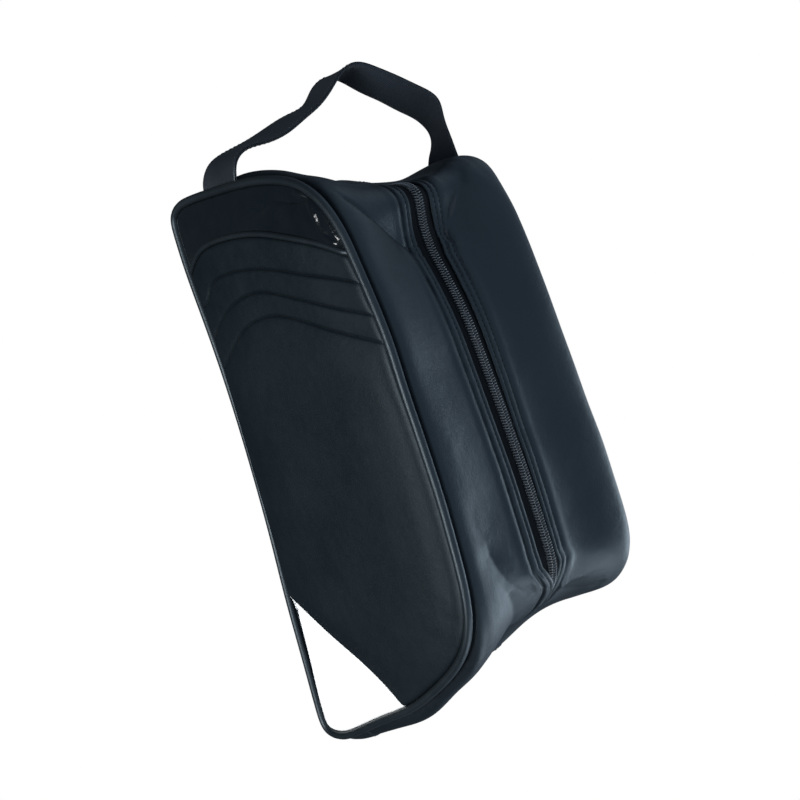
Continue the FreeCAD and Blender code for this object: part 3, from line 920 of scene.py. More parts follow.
def squircle(count, power):
    """Unit superellipse as (count, 2) points."""
    angle = 2 * math.pi * np.arange(count) / count
    c, s = np.cos(angle), np.sin(angle)
    q = (np.abs(c) ** power + np.abs(s) ** power) ** (-1 / power)
    return np.stack([c * q, s * q], -1)


def rounded_bar(centre, along, up, length, width, height):
    """Rounded box section swept along a short length, tapered at both ends."""
    section = squircle(10, 4)
    ring = (section[:, :1] * np.cross(up, along) * width / 2 + section[:, 1:] * up * height / 2)
    stations = ((-0.5, 0.45), (-0.42, 0.8), (-0.3, 1.0), (0.3, 1.0), (0.42, 0.8), (0.5, 0.45))
    return loft([centre + along * (place * length) + ring * size for place, size in stations])


centre, along, up = zip_pose(zip_run[-1] - STOP_INSET)
obj = mesh_obj("zip_bottom_bar", *join([rounded_bar(centre + up * 0.1, along, up, 5.0, 6.6, 2.6)]))
fit(obj, METAL, "slider_metal", "zip_bottom_stop")
centre, along, up = zip_pose(STOP_INSET)
bars = [rounded_bar(centre + up * 0.1 + np.array([0, side * 1.9, 0]), along, up, 4.0, 2.6, 2.5)
        for side in SIDES]
fit(mesh_obj("zip_top_bars", *join(bars)), METAL, "slider_metal", "zip_top_stops")

# =============================================================================
# slider and pull tab, where the CAD slider sits
# =============================================================================


def lay(pose, flat, height):
    """Place flat points (along, across) at a height over a pose."""
    centre, along, up = pose
    return centre + flat[:, :1] * along + flat[:, 1:] * np.cross(up, along) + up * height


def plate(pose, outline, low, high, bevel=0.5):
    """Closed plate with rounded rims between two heights."""
    count = len(outline)
    middle = outline.mean(0)
    levels = [(low, 0.86), (low + bevel * 0.35, 0.955), (low + bevel, 1.0),
              (high - bevel, 1.0), (high - bevel * 0.35, 0.955), (high, 0.86)]
    verts, faces = loft([lay(pose, middle + (outline - middle) * size, height)
                         for height, size in levels], caps=False)
    base, rim = len(verts), (len(levels) - 1) * count
    centres = [lay(pose, middle[None], height) for height in (low, high)]
    for j in range(count):
        after = (j + 1) % count
        faces += [(base, after, j), (base + 1, rim + j, rim + after)]
    return np.concatenate([verts, *centres]), faces


def bridge(pose, radius=3.4, foot=2.2, width=2.6, seg=14):
    """Bent bar over the top plate, from which the pull hangs."""
    centre, along, up = pose
    angle = (math.pi * np.arange(seg) / (seg - 1))[:, None]
    line = (centre + along * (radius * np.cos(angle))
            + up * (foot + radius * 0.88 * np.sin(angle)))
    thin_way, wide_way = frames(line, np.tile(np.cross(up, along), (seg, 1)))
    section = squircle(10, 4)
    return loft(line[:, None] + wide_way[:, None] * section[:, :1] * width / 2
                + thin_way[:, None] * section[:, 1:] * 0.45)


def slider_outline(length=6.0, width=4.9):
    """Plan of the slider plates (half sizes): rounded, with a waist."""
    points = squircle(40, 3) * (length, width)
    x = points[:, 0]
    points[:, 1] *= 1 - 0.22 * bell(x + 2.2, 2.4) - 0.1 * (x < -3)
    return points


def zip_slider():
    outline = slider_outline()
    parts = [plate(slider_pose, outline, 1.15, 2.35), plate(slider_pose, outline, -2.45, -1.25),
             rounded_bar(slider_at + slider_along * 3.6, slider_up, -slider_along, 2.9, 1.6, 2.4),
             bridge(slider_pose)]
    # rims down both edges of both plates
    for side in SIDES:
        edge = (slider_at - slider_along * 0.6
                + np.cross(slider_up, slider_along) * side * 4.35)
        for height, thick in ((1.0, 1.5), (-1.05, 1.4)):
            parts.append(rounded_bar(edge + slider_up * height, slider_along, slider_up,
                                     8.6, 0.8, thick))
    fit(mesh_obj("zip_slider_body", *join(parts)), METAL, "slider_metal", "zip_slider",
        motion="slider")


def ring_plate(pose, outer, inner, thick, bevel=0.3):
    """Flat ring with rounded rims."""
    levels = [(-thick / 2, 0), (-thick / 2 + bevel * 0.3, 0.7), (-thick / 2 + bevel, 1),
              (thick / 2 - bevel, 1), (thick / 2 - bevel * 0.3, 0.7), (thick / 2, 0)]
    rings = []
    for outline, grow, order in ((outer, -0.07, levels), (inner, 0.10, levels[::-1])):
        middle = outline.mean(0)
        rings += [lay(pose, middle + (outline - middle) * (1 + grow * (1 - full)), height)
                  for height, full in order]
    return loft(rings, closed=True, caps=False)


def tapered_outline(start, end, start_width, end_width):
    """Rounded rectangle from start to end; widths are half widths."""
    points = squircle(36, 3.2)
    x = (start + end) / 2 + (end - start) / 2 * points[:, 0]
    f = (x - start) / (end - start)
    return np.stack([x, (start_width * (1 - f) + end_width * f) * points[:, 1]], -1)


def pull_tab():
    along = (-slider_along if slider_along[2] > 0 else slider_along) + slider_up * 0.10
    along = unit(along)
    joint = next(j for j in frame["joints"] if j["name"] == "pull_tab_swing")
    pose = (np.array(joint["pos_m"], float) / MM, along, across(slider_up, along))
    # a loop round the bridge, then a pierced leaf
    parts = [ring_plate(pose, tapered_outline(-0.8, 7.0, 3.0, 3.4),
                        tapered_outline(0.7, 5.2, 1.6, 1.9), 1.0),
             ring_plate(pose, tapered_outline(6.0, 21.0, 2.9, 4.2),
                        tapered_outline(14.5, 18.6, 1.5, 1.9), 1.5)]
    fit(mesh_obj("zip_pull_leaf", *join(parts)), METAL, "slider_metal", "zip_pull_tab",
        motion="pull_tab")


slider_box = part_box("zip_slider")
box_centre = (np.array(slider_box[0]) + np.array(slider_box[1])) / 2 / MM
box_centre[1] = 0
slider_pose = zip_pose(zip_run[int(np.argmin(np.linalg.norm(zip_line - box_centre, axis=1)))])
slider_at, slider_along, slider_up = slider_pose
zip_slider()
pull_tab()

# =============================================================================
# side layout, in the near side's x-z plane
# =============================================================================
OUTLINE_U = np.linspace(0, 1, 900, endpoint=False)
OUTLINE = NEAR(OUTLINE_U)[:, [0, 2]]
FAR_SHIFT = FAR(OUTLINE_U)[:, [0, 2]] - OUTLINE
SEAM = 2.6                        # side seam, inside the piping line
COVER_Y = 61.7                    # seam plane of the side covers


def inside(u, inset):
    """Outline points (x, z) moved inwards by inset."""
    return (NEAR(u) - outward(NEAR, u) * np.asarray(inset)[..., None])[..., [0, 2]]


def nearest_u(point):
    return float(OUTLINE_U[int(np.argmin(((OUTLINE - point) ** 2).sum(1)))])


def seam_distance(x, z):
    """How far points lie inside the side seam."""
    return past(line_distance(x, z, np.vstack([OUTLINE, OUTLINE[:1]])), SEAM)


def warp_far(x, z):
    """Near layout moved to the far side's own outline."""
    points = np.stack([x.ravel(), z.ravel()], 1)
    shift = np.zeros_like(points)
    for i in range(0, len(points), 4000):
        square = ((points[i:i + 4000, None] - OUTLINE[None, ::3]) ** 2).sum(-1) + 0.35
        w = 1 / square ** 1.5
        shift[i:i + 4000] = (w[..., None] * FAR_SHIFT[None, ::3]).sum(1) / w.sum(1, keepdims=True)
    points = points + shift
    return points[:, 0].reshape(x.shape), points[:, 1].reshape(x.shape)


def on_side(side, x, z, height):
    """3D points on a side from the near layout and |y|."""
    if side > 0:
        x, z = warp_far(x, z)
        height = height - far_pull(x, z)
    return np.stack([x, side * height, z], -1)


def curve_through(points, count=120):
    return resample(Spline(points)(np.linspace(0, 1, 400)), count)


def shifted(line, distance):
    """A polyline moved sideways, to the right of its run."""
    t = unit(np.gradient(line, axis=0))
    return line + distance * np.stack([t[:, 1], -t[:, 0]], 1)


def snapped(line):
    """Ease a line's ends onto the seam; also return u at its base and top ends."""
    u_base, u_top = nearest_u(line[0]), nearest_u(line[-1])
    k = np.linspace(0, 1, len(line))
    to_base = np.clip(1 - k / 0.15, 0, 1) ** 2
    to_top = np.clip(1 - (1 - k) / 0.15, 0, 1) ** 2
    snap = ((inside(u_base, SEAM) - line[0]) * to_base[:, None]
            + (inside(u_top, SEAM) - line[-1]) * to_top[:, None])
    return line + snap, u_base, u_top


# (x, z) from the base up: the inner piping, three quilt arcs, and the diagonal
# beside the corner panel
INNER_PIPING = curve_through([
    (-130.4, 5.2), (-132.9, 8.3), (-140.1, 20.6), (-144.4, 37.4), (-144.8, 57.6), (-143.1, 78.1),
    (-139, 101.1), (-132.9, 122.9), (-125.7, 145.1), (-118.3, 163.1), (-113.6, 173.0)])
ARCS = [
    [(-109.5, 7.8), (-111.8, 17.1), (-119.7, 27), (-123.9, 42.1), (-124.1, 61.8),
     (-121.7, 85.1), (-117.4, 105.3), (-110.9, 128.6), (-104.7, 150.8), (-97.2, 176.6)],
    [(-88.8, 9.6), (-94.2, 19.6), (-101.4, 35.2), (-106.2, 51.6), (-108.7, 69.8),
     (-107.7, 86.5), (-101.8, 107.8), (-94.6, 130.5), (-86, 156.2), (-79.3, 180.6)],
    [(-68.6, 11.0), (-74.7, 22.2), (-82.8, 38.1), (-90.6, 57.1), (-93.1, 72.7),
     (-93.1, 88.7), (-88.9, 108.4), (-80.8, 131.5), (-71.2, 158.5), (-63.5, 182.9)]]
DIAGONAL = [(76.6, 10.2), (83.6, 20.9), (105.2, 57.2), (121.8, 81.0), (145.0, 104.0)]
RAILS = [snapped(line) for line in (shifted(INNER_PIPING, 1.7),
                                    *map(curve_through, ARCS), curve_through(DIAGONAL))]


def graded(width, growth, widest, finest=0.35):
    """0..1 samples over width, fine at both ends."""
    run = [0.0]
    step = finest
    while run[-1] < width / 2 - step:
        run.append(run[-1] + step)
        step = min(step * growth, widest)
    half = np.array(run)
    mirrored = half[::-1] if half[-1] < width / 2 - 0.3 * step else half[-2::-1]
    return np.r_[half / width, 1 - mirrored / width]


def at_share(line, share):
    """Points at shares 0..1 of a polyline's point count."""
    return pick(share, np.linspace(0, 1, len(line)), line)


def coons(left, right, base, top, s, t):
    """Patch filled in between four dense polylines."""
    across_s, up_t = s[:, None, None], t[None, :, None]
    return ((1 - across_s) * at_share(left, t)[None] + across_s * at_share(right, t)[None]
            + (1 - up_t) * at_share(base, s)[:, None] + up_t * at_share(top, s)[:, None]
            - ((1 - across_s) * (1 - up_t) * left[0] + across_s * (1 - up_t) * right[0]
               + (1 - across_s) * up_t * left[-1] + across_s * up_t * right[-1]))


def ruled(outer, inner, shares, count):
    """Straight rulings from an outer to an inner line."""
    t = np.linspace(0, 1, count)
    outer, inner = (at_share(resample(line, 400), t) for line in (outer, inner))
    shares = shares[:, None, None]
    return outer[None] * (1 - shares) + inner[None] * shares


def seam_run(start, end):
    return resample(inside(np.linspace(start, end, 200), SEAM), 300)


def quilt_grid():
    """Grid over the quilted cover, and its rows that lie on the three arcs."""
    t = np.r_[0, 0.0012, 0.003, 0.006, np.linspace(0.011, 0.989, 92),
              0.994, 0.997, 0.9988, 1.0]
    rows, marks = [], []
    for k in range(4):
        (left, left_base, left_top), (right, right_base, right_top) = RAILS[k:k + 2]
        width = float(np.linalg.norm(left[len(left) // 2] - right[len(right) // 2]))
        growth, widest = (1.35, 1.5) if k < 3 else (1.3, 2.6)
        if left_base < right_base:
            left_base += 1.0      # this stretch crosses u = 0
        patch = coons(resample(left, 300), resample(right, 300), seam_run(left_base, right_base),
                      seam_run(left_top, right_top), graded(width, growth, widest), t)
        rows.extend(patch[1:] if k else patch)
        marks.append(len(rows) - 1)
    return np.array(rows), marks[:-1]


# =============================================================================
# cloth simulation of the side covers
# =============================================================================


def sheet_sim(name, x, z, y, pin, slack, pressure, frame_count, seed, stiff):
    """Displacements of a sewn sheet, simulated at ten times size: pinned on its
    seams and stitch rows, a little oversize, pushed out by the padding."""
    size = 10.0 * MM
    rest = np.stack([x, -y, z], -1)
    start = rest.copy()
    start[..., 1] -= 0.05 * noise(rest, 14.0, seed) * (1 - pin)
    mesh = bpy.data.meshes.new(name)
    mesh.from_pydata([tuple(v) for v in start.reshape(-1, 3) * size], [],
                     [tuple(int(i) for i in face) for face in grid_faces(*x.shape)])
    obj = bpy.data.objects.new(name, mesh)
    scene.collection.objects.link(obj)
    group = obj.vertex_groups.new(name="pin")
    group.add([int(i) for i in np.nonzero(pin.ravel() > 0.5)[0]], 1.0, "REPLACE")
    cloth = obj.modifiers.new("cloth", "CLOTH")
    settings = dict(
        quality=6, mass=0.25, air_damping=3.0, tension_stiffness=stiff,
        compression_stiffness=stiff, shear_stiffness=stiff * 0.6, bending_stiffness=6.0,
        tension_damping=12, compression_damping=12, shear_damping=12, bending_damping=2.0,
        vertex_group_mass="pin", pin_stiffness=1.0, shrink_min=-slack, shrink_max=-slack,
        use_pressure=True, uniform_pressure_force=pressure)
    for key, value in settings.items():
        setattr(cloth.settings, key, value)
    cloth.settings.effector_weights.gravity = 0.0
    cloth.collision_settings.use_collision = False
    cloth.point_cache.frame_start = 1
    cloth.point_cache.frame_end = frame_count
    for number in range(1, frame_count + 1):
        scene.frame_set(number)
    result = obj.evaluated_get(bpy.context.evaluated_depsgraph_get()).data
    co = np.zeros(len(result.vertices) * 3, np.float32)
    result.vertices.foreach_get("co", co)
    moved = co.reshape(rest.shape).astype(float) / size - rest
    bpy.data.objects.remove(obj, do_unlink=True)
    bpy.data.meshes.remove(mesh)
    scene.frame_set(1)
    if not np.isfinite(moved).all():     # the solver may blow up
        moved = np.zeros_like(moved)
    longest = 2.6
    length = np.linalg.norm(moved, axis=-1, keepdims=True)
    return moved * np.minimum(1, longest / np.maximum(length, 1e-9))


def border_pins(rows, cols):
    pin = np.zeros((rows, cols))
    pin[[0, -1]] = 1
    pin[:, [0, -1]] = 1
    return pin


def regrid(values, rows, cols, shape):
    """Values known at some rows and columns, spread over the full grid. The
    spline over the rows keeps the puffs round."""
    wide = np.stack([pick(np.arange(shape[1]), cols, row) for row in values])
    spline = Spline(wide.reshape(len(rows), -1), False, np.asarray(rows, float) / rows[-1])
    return spline(np.arange(shape[0]) / rows[-1]).reshape(*shape, 3)


def thin(run, step, keep):
    """Indices of run spaced by at least step, always holding keep."""
    chosen = [0]
    for i in range(1, len(run)):
        if i in keep or i == len(run) - 1:
            while (len(chosen) > 1 and chosen[-1] not in keep
                   and run[i] - run[chosen[-1]] < step * 0.6):
                chosen.pop()
            chosen.append(i)
        elif run[i] - run[chosen[-1]] >= step:
            chosen.append(i)
    return chosen


# =============================================================================
# quilted cover
# =============================================================================
quilt, ARC_ROWS = quilt_grid()
quilt_x, quilt_z = quilt[..., 0], quilt[..., 1]
quilt_seam = seam_distance(quilt_x, quilt_z)
to_arc = np.minimum.reduce([line_distance(quilt_x, quilt_z, RAILS[k][0]) for k in (1, 2, 3)])
# padding: rolled edges, a broad rise, and puffs beside the arcs that fade to +x
quilt_y = COVER_Y + (
    2.3 * roll(quilt_seam, 3.4) + 2.6 * smooth(quilt_seam / 48)
    + 1.3 * roll(line_distance(quilt_x, quilt_z, RAILS[0][0]), 2.4)
    + 0.8 * roll(line_distance(quilt_x, quilt_z, RAILS[4][0]), 1.3) - 1.3
    + 0.55 * (1 - bell(to_arc, 4.2, 1.2)) * np.exp(-past(quilt_x, -40) / 60))


def quilt_puffs(side):
    """Simulated puffing of the quilted cover."""
    rows = thin(travel(quilt[:, quilt.shape[1] // 2]), 2.6, set(ARC_ROWS))
    last = quilt.shape[1] - 1
    cols = [0, *range(5, last - 3, 2), last]
    some = np.ix_(rows, cols)
    pin = border_pins(len(rows), len(cols))
    for k in ARC_ROWS:
        pin[rows.index(k)] = 1
    moved = sheet_sim(f"{SIDE_NAME[side]}_quilt_sim", quilt_x[some], quilt_z[some], quilt_y[some],
                      pin, slack=0.0008, pressure=2.6, frame_count=22,
                      seed=3 if side < 0 else 8, stiff=12.0)
    for _ in range(3):
        moved[1:-1, 1:-1] = 0.5 * moved[1:-1, 1:-1] + 0.125 * (
            moved[:-2, 1:-1] + moved[2:, 1:-1] + moved[1:-1, :-2] + moved[1:-1, 2:])
    return 0.6 * regrid(moved, rows, cols, quilt_x.shape)


def quilted_cover(side):
    name = SIDE_NAME[side]
    moved = np.zeros(quilt_x.shape + (3,))
    moved = quilt_puffs(side)
    # narrow stitched valleys, shallower at their ends
    valley = 1.05 * bell(to_arc, 0.62, 1.3) * (0.35 + 0.65 * smooth(quilt_seam / 6))
    x, z = quilt_x + moved[..., 0] * 0.5, quilt_z + moved[..., 2] * 0.5
    y = quilt_y - moved[..., 1] - valley
    y = y + 0.05 * noise(np.stack([x, y, z], -1), 5.0, 21) * smooth(quilt_seam / 5)
    points = on_side(side, x, z, y)
    fit(grid_obj(f"{name}_quilted_cover", points, flip=side > 0), PU_SIDE, "pu_matte",
        f"{name}_quilted_panel", f"{name}_quilt_foam", thick=1.4)
    parts = []
    for k in ARC_ROWS:
        line = resample(points[k, 3:-3] - np.array([0, side * 0.02, 0]), 160)
        parts += stitch_row(line, np.tile([0, float(side), 0], (160, 1)),
                            pitch=2.7, length=1.95, radius=0.22, sink=0.08)
    # the near-black thread also paints the shade of the stitched valleys
    fit(mesh_obj(f"{name}_quilt_stitching", *join(parts)), THREAD_WITH_GROOVE_SHADE, "pu_matte")


for side in SIDES:
    quilted_cover(side)

# =============================================================================
# patent panel: between the strap-end seam and the inner piping
# =============================================================================
patent_inner, patent_base, patent_top = snapped(shifted(INNER_PIPING, -1.2))
PATENT_GRID = ruled(
    inside(np.linspace(patent_base, patent_top, 400), SEAM), patent_inner,
    np.r_[0, 0.006, 0.016, 0.03, np.linspace(0.05, 0.95, 40), 0.97, 0.984, 0.994, 1.0], 150)
# pressed folds from the top corner, as (x, z): the long one fades out downwards
LONG_FOLD = [(-148, 151), (-149, 134), (-153.7, 118.7), (-151.3, 104.2), (-150.1, 87.1),
             (-149.9, 67.2)]
# line, height, width, sharpness
FOLDS = [
    ([(-148.5, 149), (-148.1, 128.5), (-143.5, 118.3)], -0.9, 1.8, 1.2),
    ([(-154, 141.7), (-148, 149.8), (-138.8, 153.3), (-127.4, 157.0), (-121, 165.0)],
     1.0, 1.3, 1.4),
    ([(-148, 150.8), (-142.5, 156.6), (-132.5, 162.6), (-124, 166.5)], 0.65, 1.1, 1.4)]


def patent_cover(side):
    name = SIDE_NAME[side]
    x, z = PATENT_GRID[..., 0], PATENT_GRID[..., 1]
    seam = seam_distance(x, z)
    inner = line_distance(x, z, patent_inner)
    y = COVER_Y - 0.5 + 2.1 * roll(seam, 3.4) + 0.9 * smooth(seam / 14) + 0.5 * bell(inner, 3.0)
    long_fold = line_distance(x, z, curve_through(LONG_FOLD))
    y = y - 1.5 * bell(long_fold, 1.9, 1.2) * smooth((z - 62) / 30)
    for line, height, width, power in FOLDS:
        y = y + height * bell(line_distance(x, z, curve_through(line)), width, power)
    moved = np.zeros(x.shape + (3,))
    rows, cols = ([*range(0, count, 2), count - 1] for count in x.shape)
    some = np.ix_(rows, cols)
    moved = sheet_sim(f"{name}_patent_sim", x[some], z[some], y[some],
                      border_pins(len(rows), len(cols)), slack=0.012, pressure=1.2,
                      frame_count=20, seed=5 if side < 0 else 9, stiff=9.0)
    moved = regrid(moved, rows, cols, x.shape)
    x, z, y = x + moved[..., 0] * 0.6, z + moved[..., 2] * 0.6, y - moved[..., 1]
    # crinkles over the upper part, drawn out along z
    at = np.stack([x, y, z], -1)
    crinkle = (0.20 * noise(at * [1.0, 1, 0.55], 7.0, 31)
               + 0.09 * noise(at * [1.0, 1, 0.7], 3.4, 32))
    y = y + crinkle * smooth((z - 95) / 45) * smooth(seam / 3) * smooth(inner / 2.5)
    obj = grid_obj(f"{name}_patent_cover", on_side(side, x, z, y), flip=side < 0)
    fit(obj, PATENT, "pu_patent", f"{name}_patent_panel", thick=0.9)


# =============================================================================
# corner panel, low at the plain end
# =============================================================================


def corner_grid():
    rail, u_base, u_top = RAILS[4]
    u = np.linspace(u_top, u_base, 400)
    x, _, z = NEAR(u).T
    # the lower edge stands further in from the base seam
    extra = smooth((12 - z) / 6) * np.interp(x, [60, 80, 110, 150], [9.5, 8.0, 5.2, 0.8])
    shares = np.r_[0, 0.01, 0.025, 0.05, np.linspace(0.08, 0.92, 34), 0.95, 0.975, 0.99, 1.0]
    return ruled(inside(u, SEAM + extra), shifted(rail, 0.35)[::-1], shares, 120)


CORNER_GRID = corner_grid()


def corner_cover(side):
    name = SIDE_NAME[side]
    x, z = CORNER_GRID[..., 0], CORNER_GRID[..., 1]
    seam = seam_distance(x, z)
    y = (COVER_Y + 1.5 * roll(seam, 2.8) + 1.4 * smooth(seam / 30)
         + 0.6 * smooth(line_distance(x, z, RAILS[4][0]) / 12) - 0.25)
    y = y + 0.35 * noise(np.stack([x, y, z], -1), 26, 41) * smooth(seam / 8)
    obj = grid_obj(f"{name}_corner_cover", on_side(side, x, z, y), flip=side > 0)
    fit(obj, PU_WHITE, "pu_white", f"{name}_corner_panel", thick=1.1)


# =============================================================================
# piping and side linings
# =============================================================================
# the sewn allowance inside the outer cord: inset, and |y| along the base
ALLOWANCE_INSET = (0.8, 2.0, 3.4, 4.8, 6.4)
ALLOWANCE_BASE_Y = np.array([62.6, 62.5, 62.5, 62.45, 61.9])
ALLOWANCE_Y = 58.6                # |y| elsewhere


def piping(side):
    name = SIDE_NAME[side]
    x, z = resample(INNER_PIPING, 150).T
    seam = seam_distance(x, z)
    y = COVER_Y + 2.3 * roll(seam, 4.0) + 2.6 * smooth(seam / 48) + 0.55
    fit(tube(f"{name}_inner_piping_cord", on_side(side, x, z, y), 1.75, 16), PU_PIPING, "piping",
        f"{name}_inner_piping")
    u = u_samples(0, 1, 2.2)[:-1]
    fit(tube(f"{name}_outer_piping_cord", EDGE[side](u), 2.5, 18, closed=True), PU_PIPING,
        "piping", f"{name}_outer_piping")
    flat = np.stack([inside(u, inset) for inset in ALLOWANCE_INSET], 1)
    base = smooth((12 - NEAR(u)[:, 2]) / 6)[:, None]
    y = ALLOWANCE_BASE_Y * base + ALLOWANCE_Y * (1 - base)
    obj = grid_obj(f"{name}_piping_allowance", on_side(side, flat[..., 0], flat[..., 1], y),
                   flip=side < 0, closed=True)
    fit(obj, PU_PIPING, "piping", thick=0.5)


def side_lining(side):
    """One lining sheet behind the side, fanned out from a centre point."""
    name = SIDE_NAME[side]
    middle = np.array([-5.0, 92.0])
    ring = inside(np.linspace(0, 1, 180, endpoint=False), 5.0)
    shares = np.r_[np.linspace(0, 0.94, 34), 0.965, 0.985, 1.0]
    flat = middle + (ring[:, None] - middle) * shares[None, :, None]
    x, z = flat[..., 0], flat[..., 1]
    seam = seam_distance(x, z)
    y = COVER_Y - 3.4 + 2.0 * smooth(seam / 40)
    y = y + 0.5 * noise(np.stack([x, y, z], -1), 30, 51) * smooth(seam / 10)
    points = on_side(side, x, z, y)
    # the first column is welded into vertex 0
    verts = [points[:, 0].mean(0), *points[:, 1:].reshape(-1, 3)]
    spokes, m = len(points), points.shape[1] - 1
    faces = []
    for i in range(spokes):
        following = (i + 1) % spokes
        a, b = (1 + k * m for k in ((i, following) if side > 0 else (following, i)))
        faces.append((0, a, b))
        faces += [(a + k, a + k + 1, b + k + 1, b + k) for k in range(m - 1)]
    fit(mesh_obj(f"{name}_side_lining_cloth", verts, faces), LINING, "lining",
        f"{name}_side_lining", f"{name}_side_backing", thick=1.0, offset=1.0)


for side in SIDES:
    patent_cover(side)
    corner_cover(side)
    piping(side)
    side_lining(side)

# =============================================================================
# base band: one strip over the bottom and a little way up both ends
# =============================================================================
BAND_LAP = 0.012                  # in u, how far it laps over the gusset strips
BAND_LIFT = 0.55
band_u = u_samples(U_PLAIN - BAND_LAP, U_STRAP + 1.0 + BAND_LAP, 2.4, 700, (MID,))


def base_band():
    d = np.r_[np.linspace(0, 3, 6), np.linspace(4.2, HALF, 26)]
    points = np.concatenate([gusset(band_u[:, None], columns, side, BAND_LIFT, False)[0]
                             for side, columns in ((-1, d), (1, d[::-1][1:]))], 1)
    points[..., 2] = np.maximum(points[..., 2], 0.15)
    fit(grid_obj("base_band_cover", points), PU, "pu_matte", "base_gusset", thick=1.1)


def band_stitching():
    """Stitch rows along the two short ends of the band."""
    parts = []
    for u in (band_u[2], band_u[-3]):
        for side in SIDES:
            line, normals = gusset(u, np.linspace(3, HALF, 60), side, BAND_LIFT, False)
            parts += stitch_row(line, normals, pitch=3.2, length=2.4, radius=0.25, sink=0.02)
    fit(mesh_obj("base_band_stitching", *join(parts)), THREAD, "pu_matte")


def lowest(curve, limit):
    """The part of a curve below z = limit, sorted by x, as x and z."""
    points = curve(np.linspace(0, 1, 4000, endpoint=False))
    points = points[points[:, 2] < limit]
    points = points[np.argsort(points[:, 0])]
    return points[:, 0], points[:, 2]


def base_sheet(name, height, half_width, start, end, material, slot, thick, replaced):
    """Sheet that follows the base from inside."""
    mid_x, mid_z = lowest(MID, 30)
    xs, ys = np.linspace(start, end, 90), np.linspace(-half_width, half_width, 40)
    x, y = np.meshgrid(xs, ys, indexing="ij")
    outer = smooth(np.abs(y) / 60.0)
    edge_z = np.where(y < 0, np.interp(x, *lowest(NEAR, 14)), 3.0)
    z = (np.interp(x, mid_x, np.minimum(mid_z, 6)) * (1 - outer)
         + edge_z * outer * 0.9 + height + 0.6)
    z = z + 0.25 * noise(np.stack([x, y, z], -1), 35, 61)
    fit(grid_obj(name, np.stack([x, y, z], -1)), material, slot, replaced, thick=thick)


base_band()
band_stitching()
base_sheet("base_board_sheet", 2.2, 55.0, -146, 138, BOARD, "board", 1.4, "base_board")
base_sheet("base_lining_cloth", 4.0, 56.5, -158, 150, LINING, "lining", 0.9, "base_lining")

# =============================================================================
# gusset lining: a sheet under each half
# =============================================================================


def gusset_lining(side):
    name = SIDE_NAME[side]
    u = u_samples(U_STRAP - 0.004, U_PLAIN + 0.004, 3.2)
    d = np.r_[1.5, np.linspace(3.5, HALF - 13.0, 24)]
    points, _ = gusset(u[:, None], d, side, -3.0, False)
    fit(grid_obj(f"{name}_gusset_lining", points, flip=side > 0), LINING, "lining",
        f"{name}_end_linings", f"{name}_lip_lining", motion=LIP[side], thick=0.5)


for side in SIDES:
    gusset_lining(side)

# =============================================================================
# carry strap: webbing inside, coated facing outside, ends in the side seams
# =============================================================================
# upper edge x, y, z | lower edge x, y, z, from the near end to the far end
STRAP_EDGES = [
    (-167.0, -60.3, 79.0, -169.0, -60.3, 45.0), (-171.2, -59.4, 79.6, -174.4, -62.0, 46.2),
    (-184.6, -56.6, 83.7, -189.1, -55.6, 50.1), (-190.3, -48.6, 86.2, -194.5, -43.7, 52.8),
    (-191.2, -36.4, 89.2, -198.3, -30.3, 56.5), (-193.6, -24.2, 93.1, -202.9, -17.4, 61.1),
    (-198.9, -13.3, 97.9, -206.9, -4.7, 66.0), (-204.7, -3.4, 102.8, -210.3, 6.8, 70.9),
    (-211.8, 5.0, 106.8, -218.4, 13.7, 74.6), (-219.5, 12.8, 110.6, -223.2, 23.0, 78.4),
    (-223.0, 22.1, 113.9, -220.0, 31.3, 81.3), (-217.9, 32.9, 117.9, -211.4, 40.1, 85.4),
    (-209.9, 43.0, 122.5, -202.9, 49.8, 90.0), (-201.2, 52.8, 127.1, -194.0, 58.8, 94.5),
    (-190.7, 60.6, 131.3, -185.6, 67.2, 100.5), (-177.8, 59.6, 131.8, -175.6, 70.2, 106.0),
    (-163.9, 59.8, 132.4, -163.2, 66.4, 107.4), (-155.8, 60.8, 131.8, -155.8, 63.8, 106.8),
    (-146.0, 61.6, 131.6, -146.0, 61.8, 105.6)]
edges = Spline(STRAP_EDGES)(np.linspace(0, 1, 260))
edge_run = travel((edges[:, :3] + edges[:, 3:]) / 2)
STRAP_LENGTH = edge_run[-1]
strap_run = np.linspace(0, STRAP_LENGTH, int(STRAP_LENGTH / 1.7))
edges = pick(strap_run, edge_run, edges)
strap_line = (edges[:, :3] + edges[:, 3:]) / 2
strap_tangent = unit(np.gradient(strap_line, axis=0))
strap_across = across(unit(edges[:, :3] - edges[:, 3:]), strap_tangent)
strap_out = np.cross(strap_across, strap_tangent)


def strap_weight(points):
    """0 at the sewn ends, 1 along the free strap."""
    square = ((points[:, None, :] - strap_line[None, ::3, :]) ** 2).sum(-1)
    along = strap_run[::3][np.argmin(square, 1)]
    return smooth((np.minimum(along, STRAP_LENGTH - along) - 3.0) / 40.0)


STRAP_MOTION = ("handle", (-0.17, 0, 0.07), (-0.20, 0, 0.07), strap_weight)


def strap_layer(name, low, high, half_width):
    """Closed band with rounded rims, between two heights off the strap's middle."""
    v = np.r_[-1, -0.985, -0.95, np.linspace(-0.9, 0.9, 21), 0.95, 0.985, 1]
    full = 1 - np.clip(1 - (1 - abs(v)) * half_width / 1.3, 0, 1) ** 2.2
    out = strap_out[:, None]
    middle = (strap_line[:, None] + strap_across[:, None] * (v * half_width)[:, None]
              + out * ((high + low) / 2))
    rise = out * ((high - low) / 2 * full)[:, None]
    points = np.concatenate([middle + rise, (middle - rise)[:, ::-1]], 1)
    uvs = uv_grid(strap_run, np.r_[v * half_width, v[::-1] * half_width])
    return mesh_obj(name, points.reshape(-1, 3), capped_faces(*points.shape[:2]), uvs)


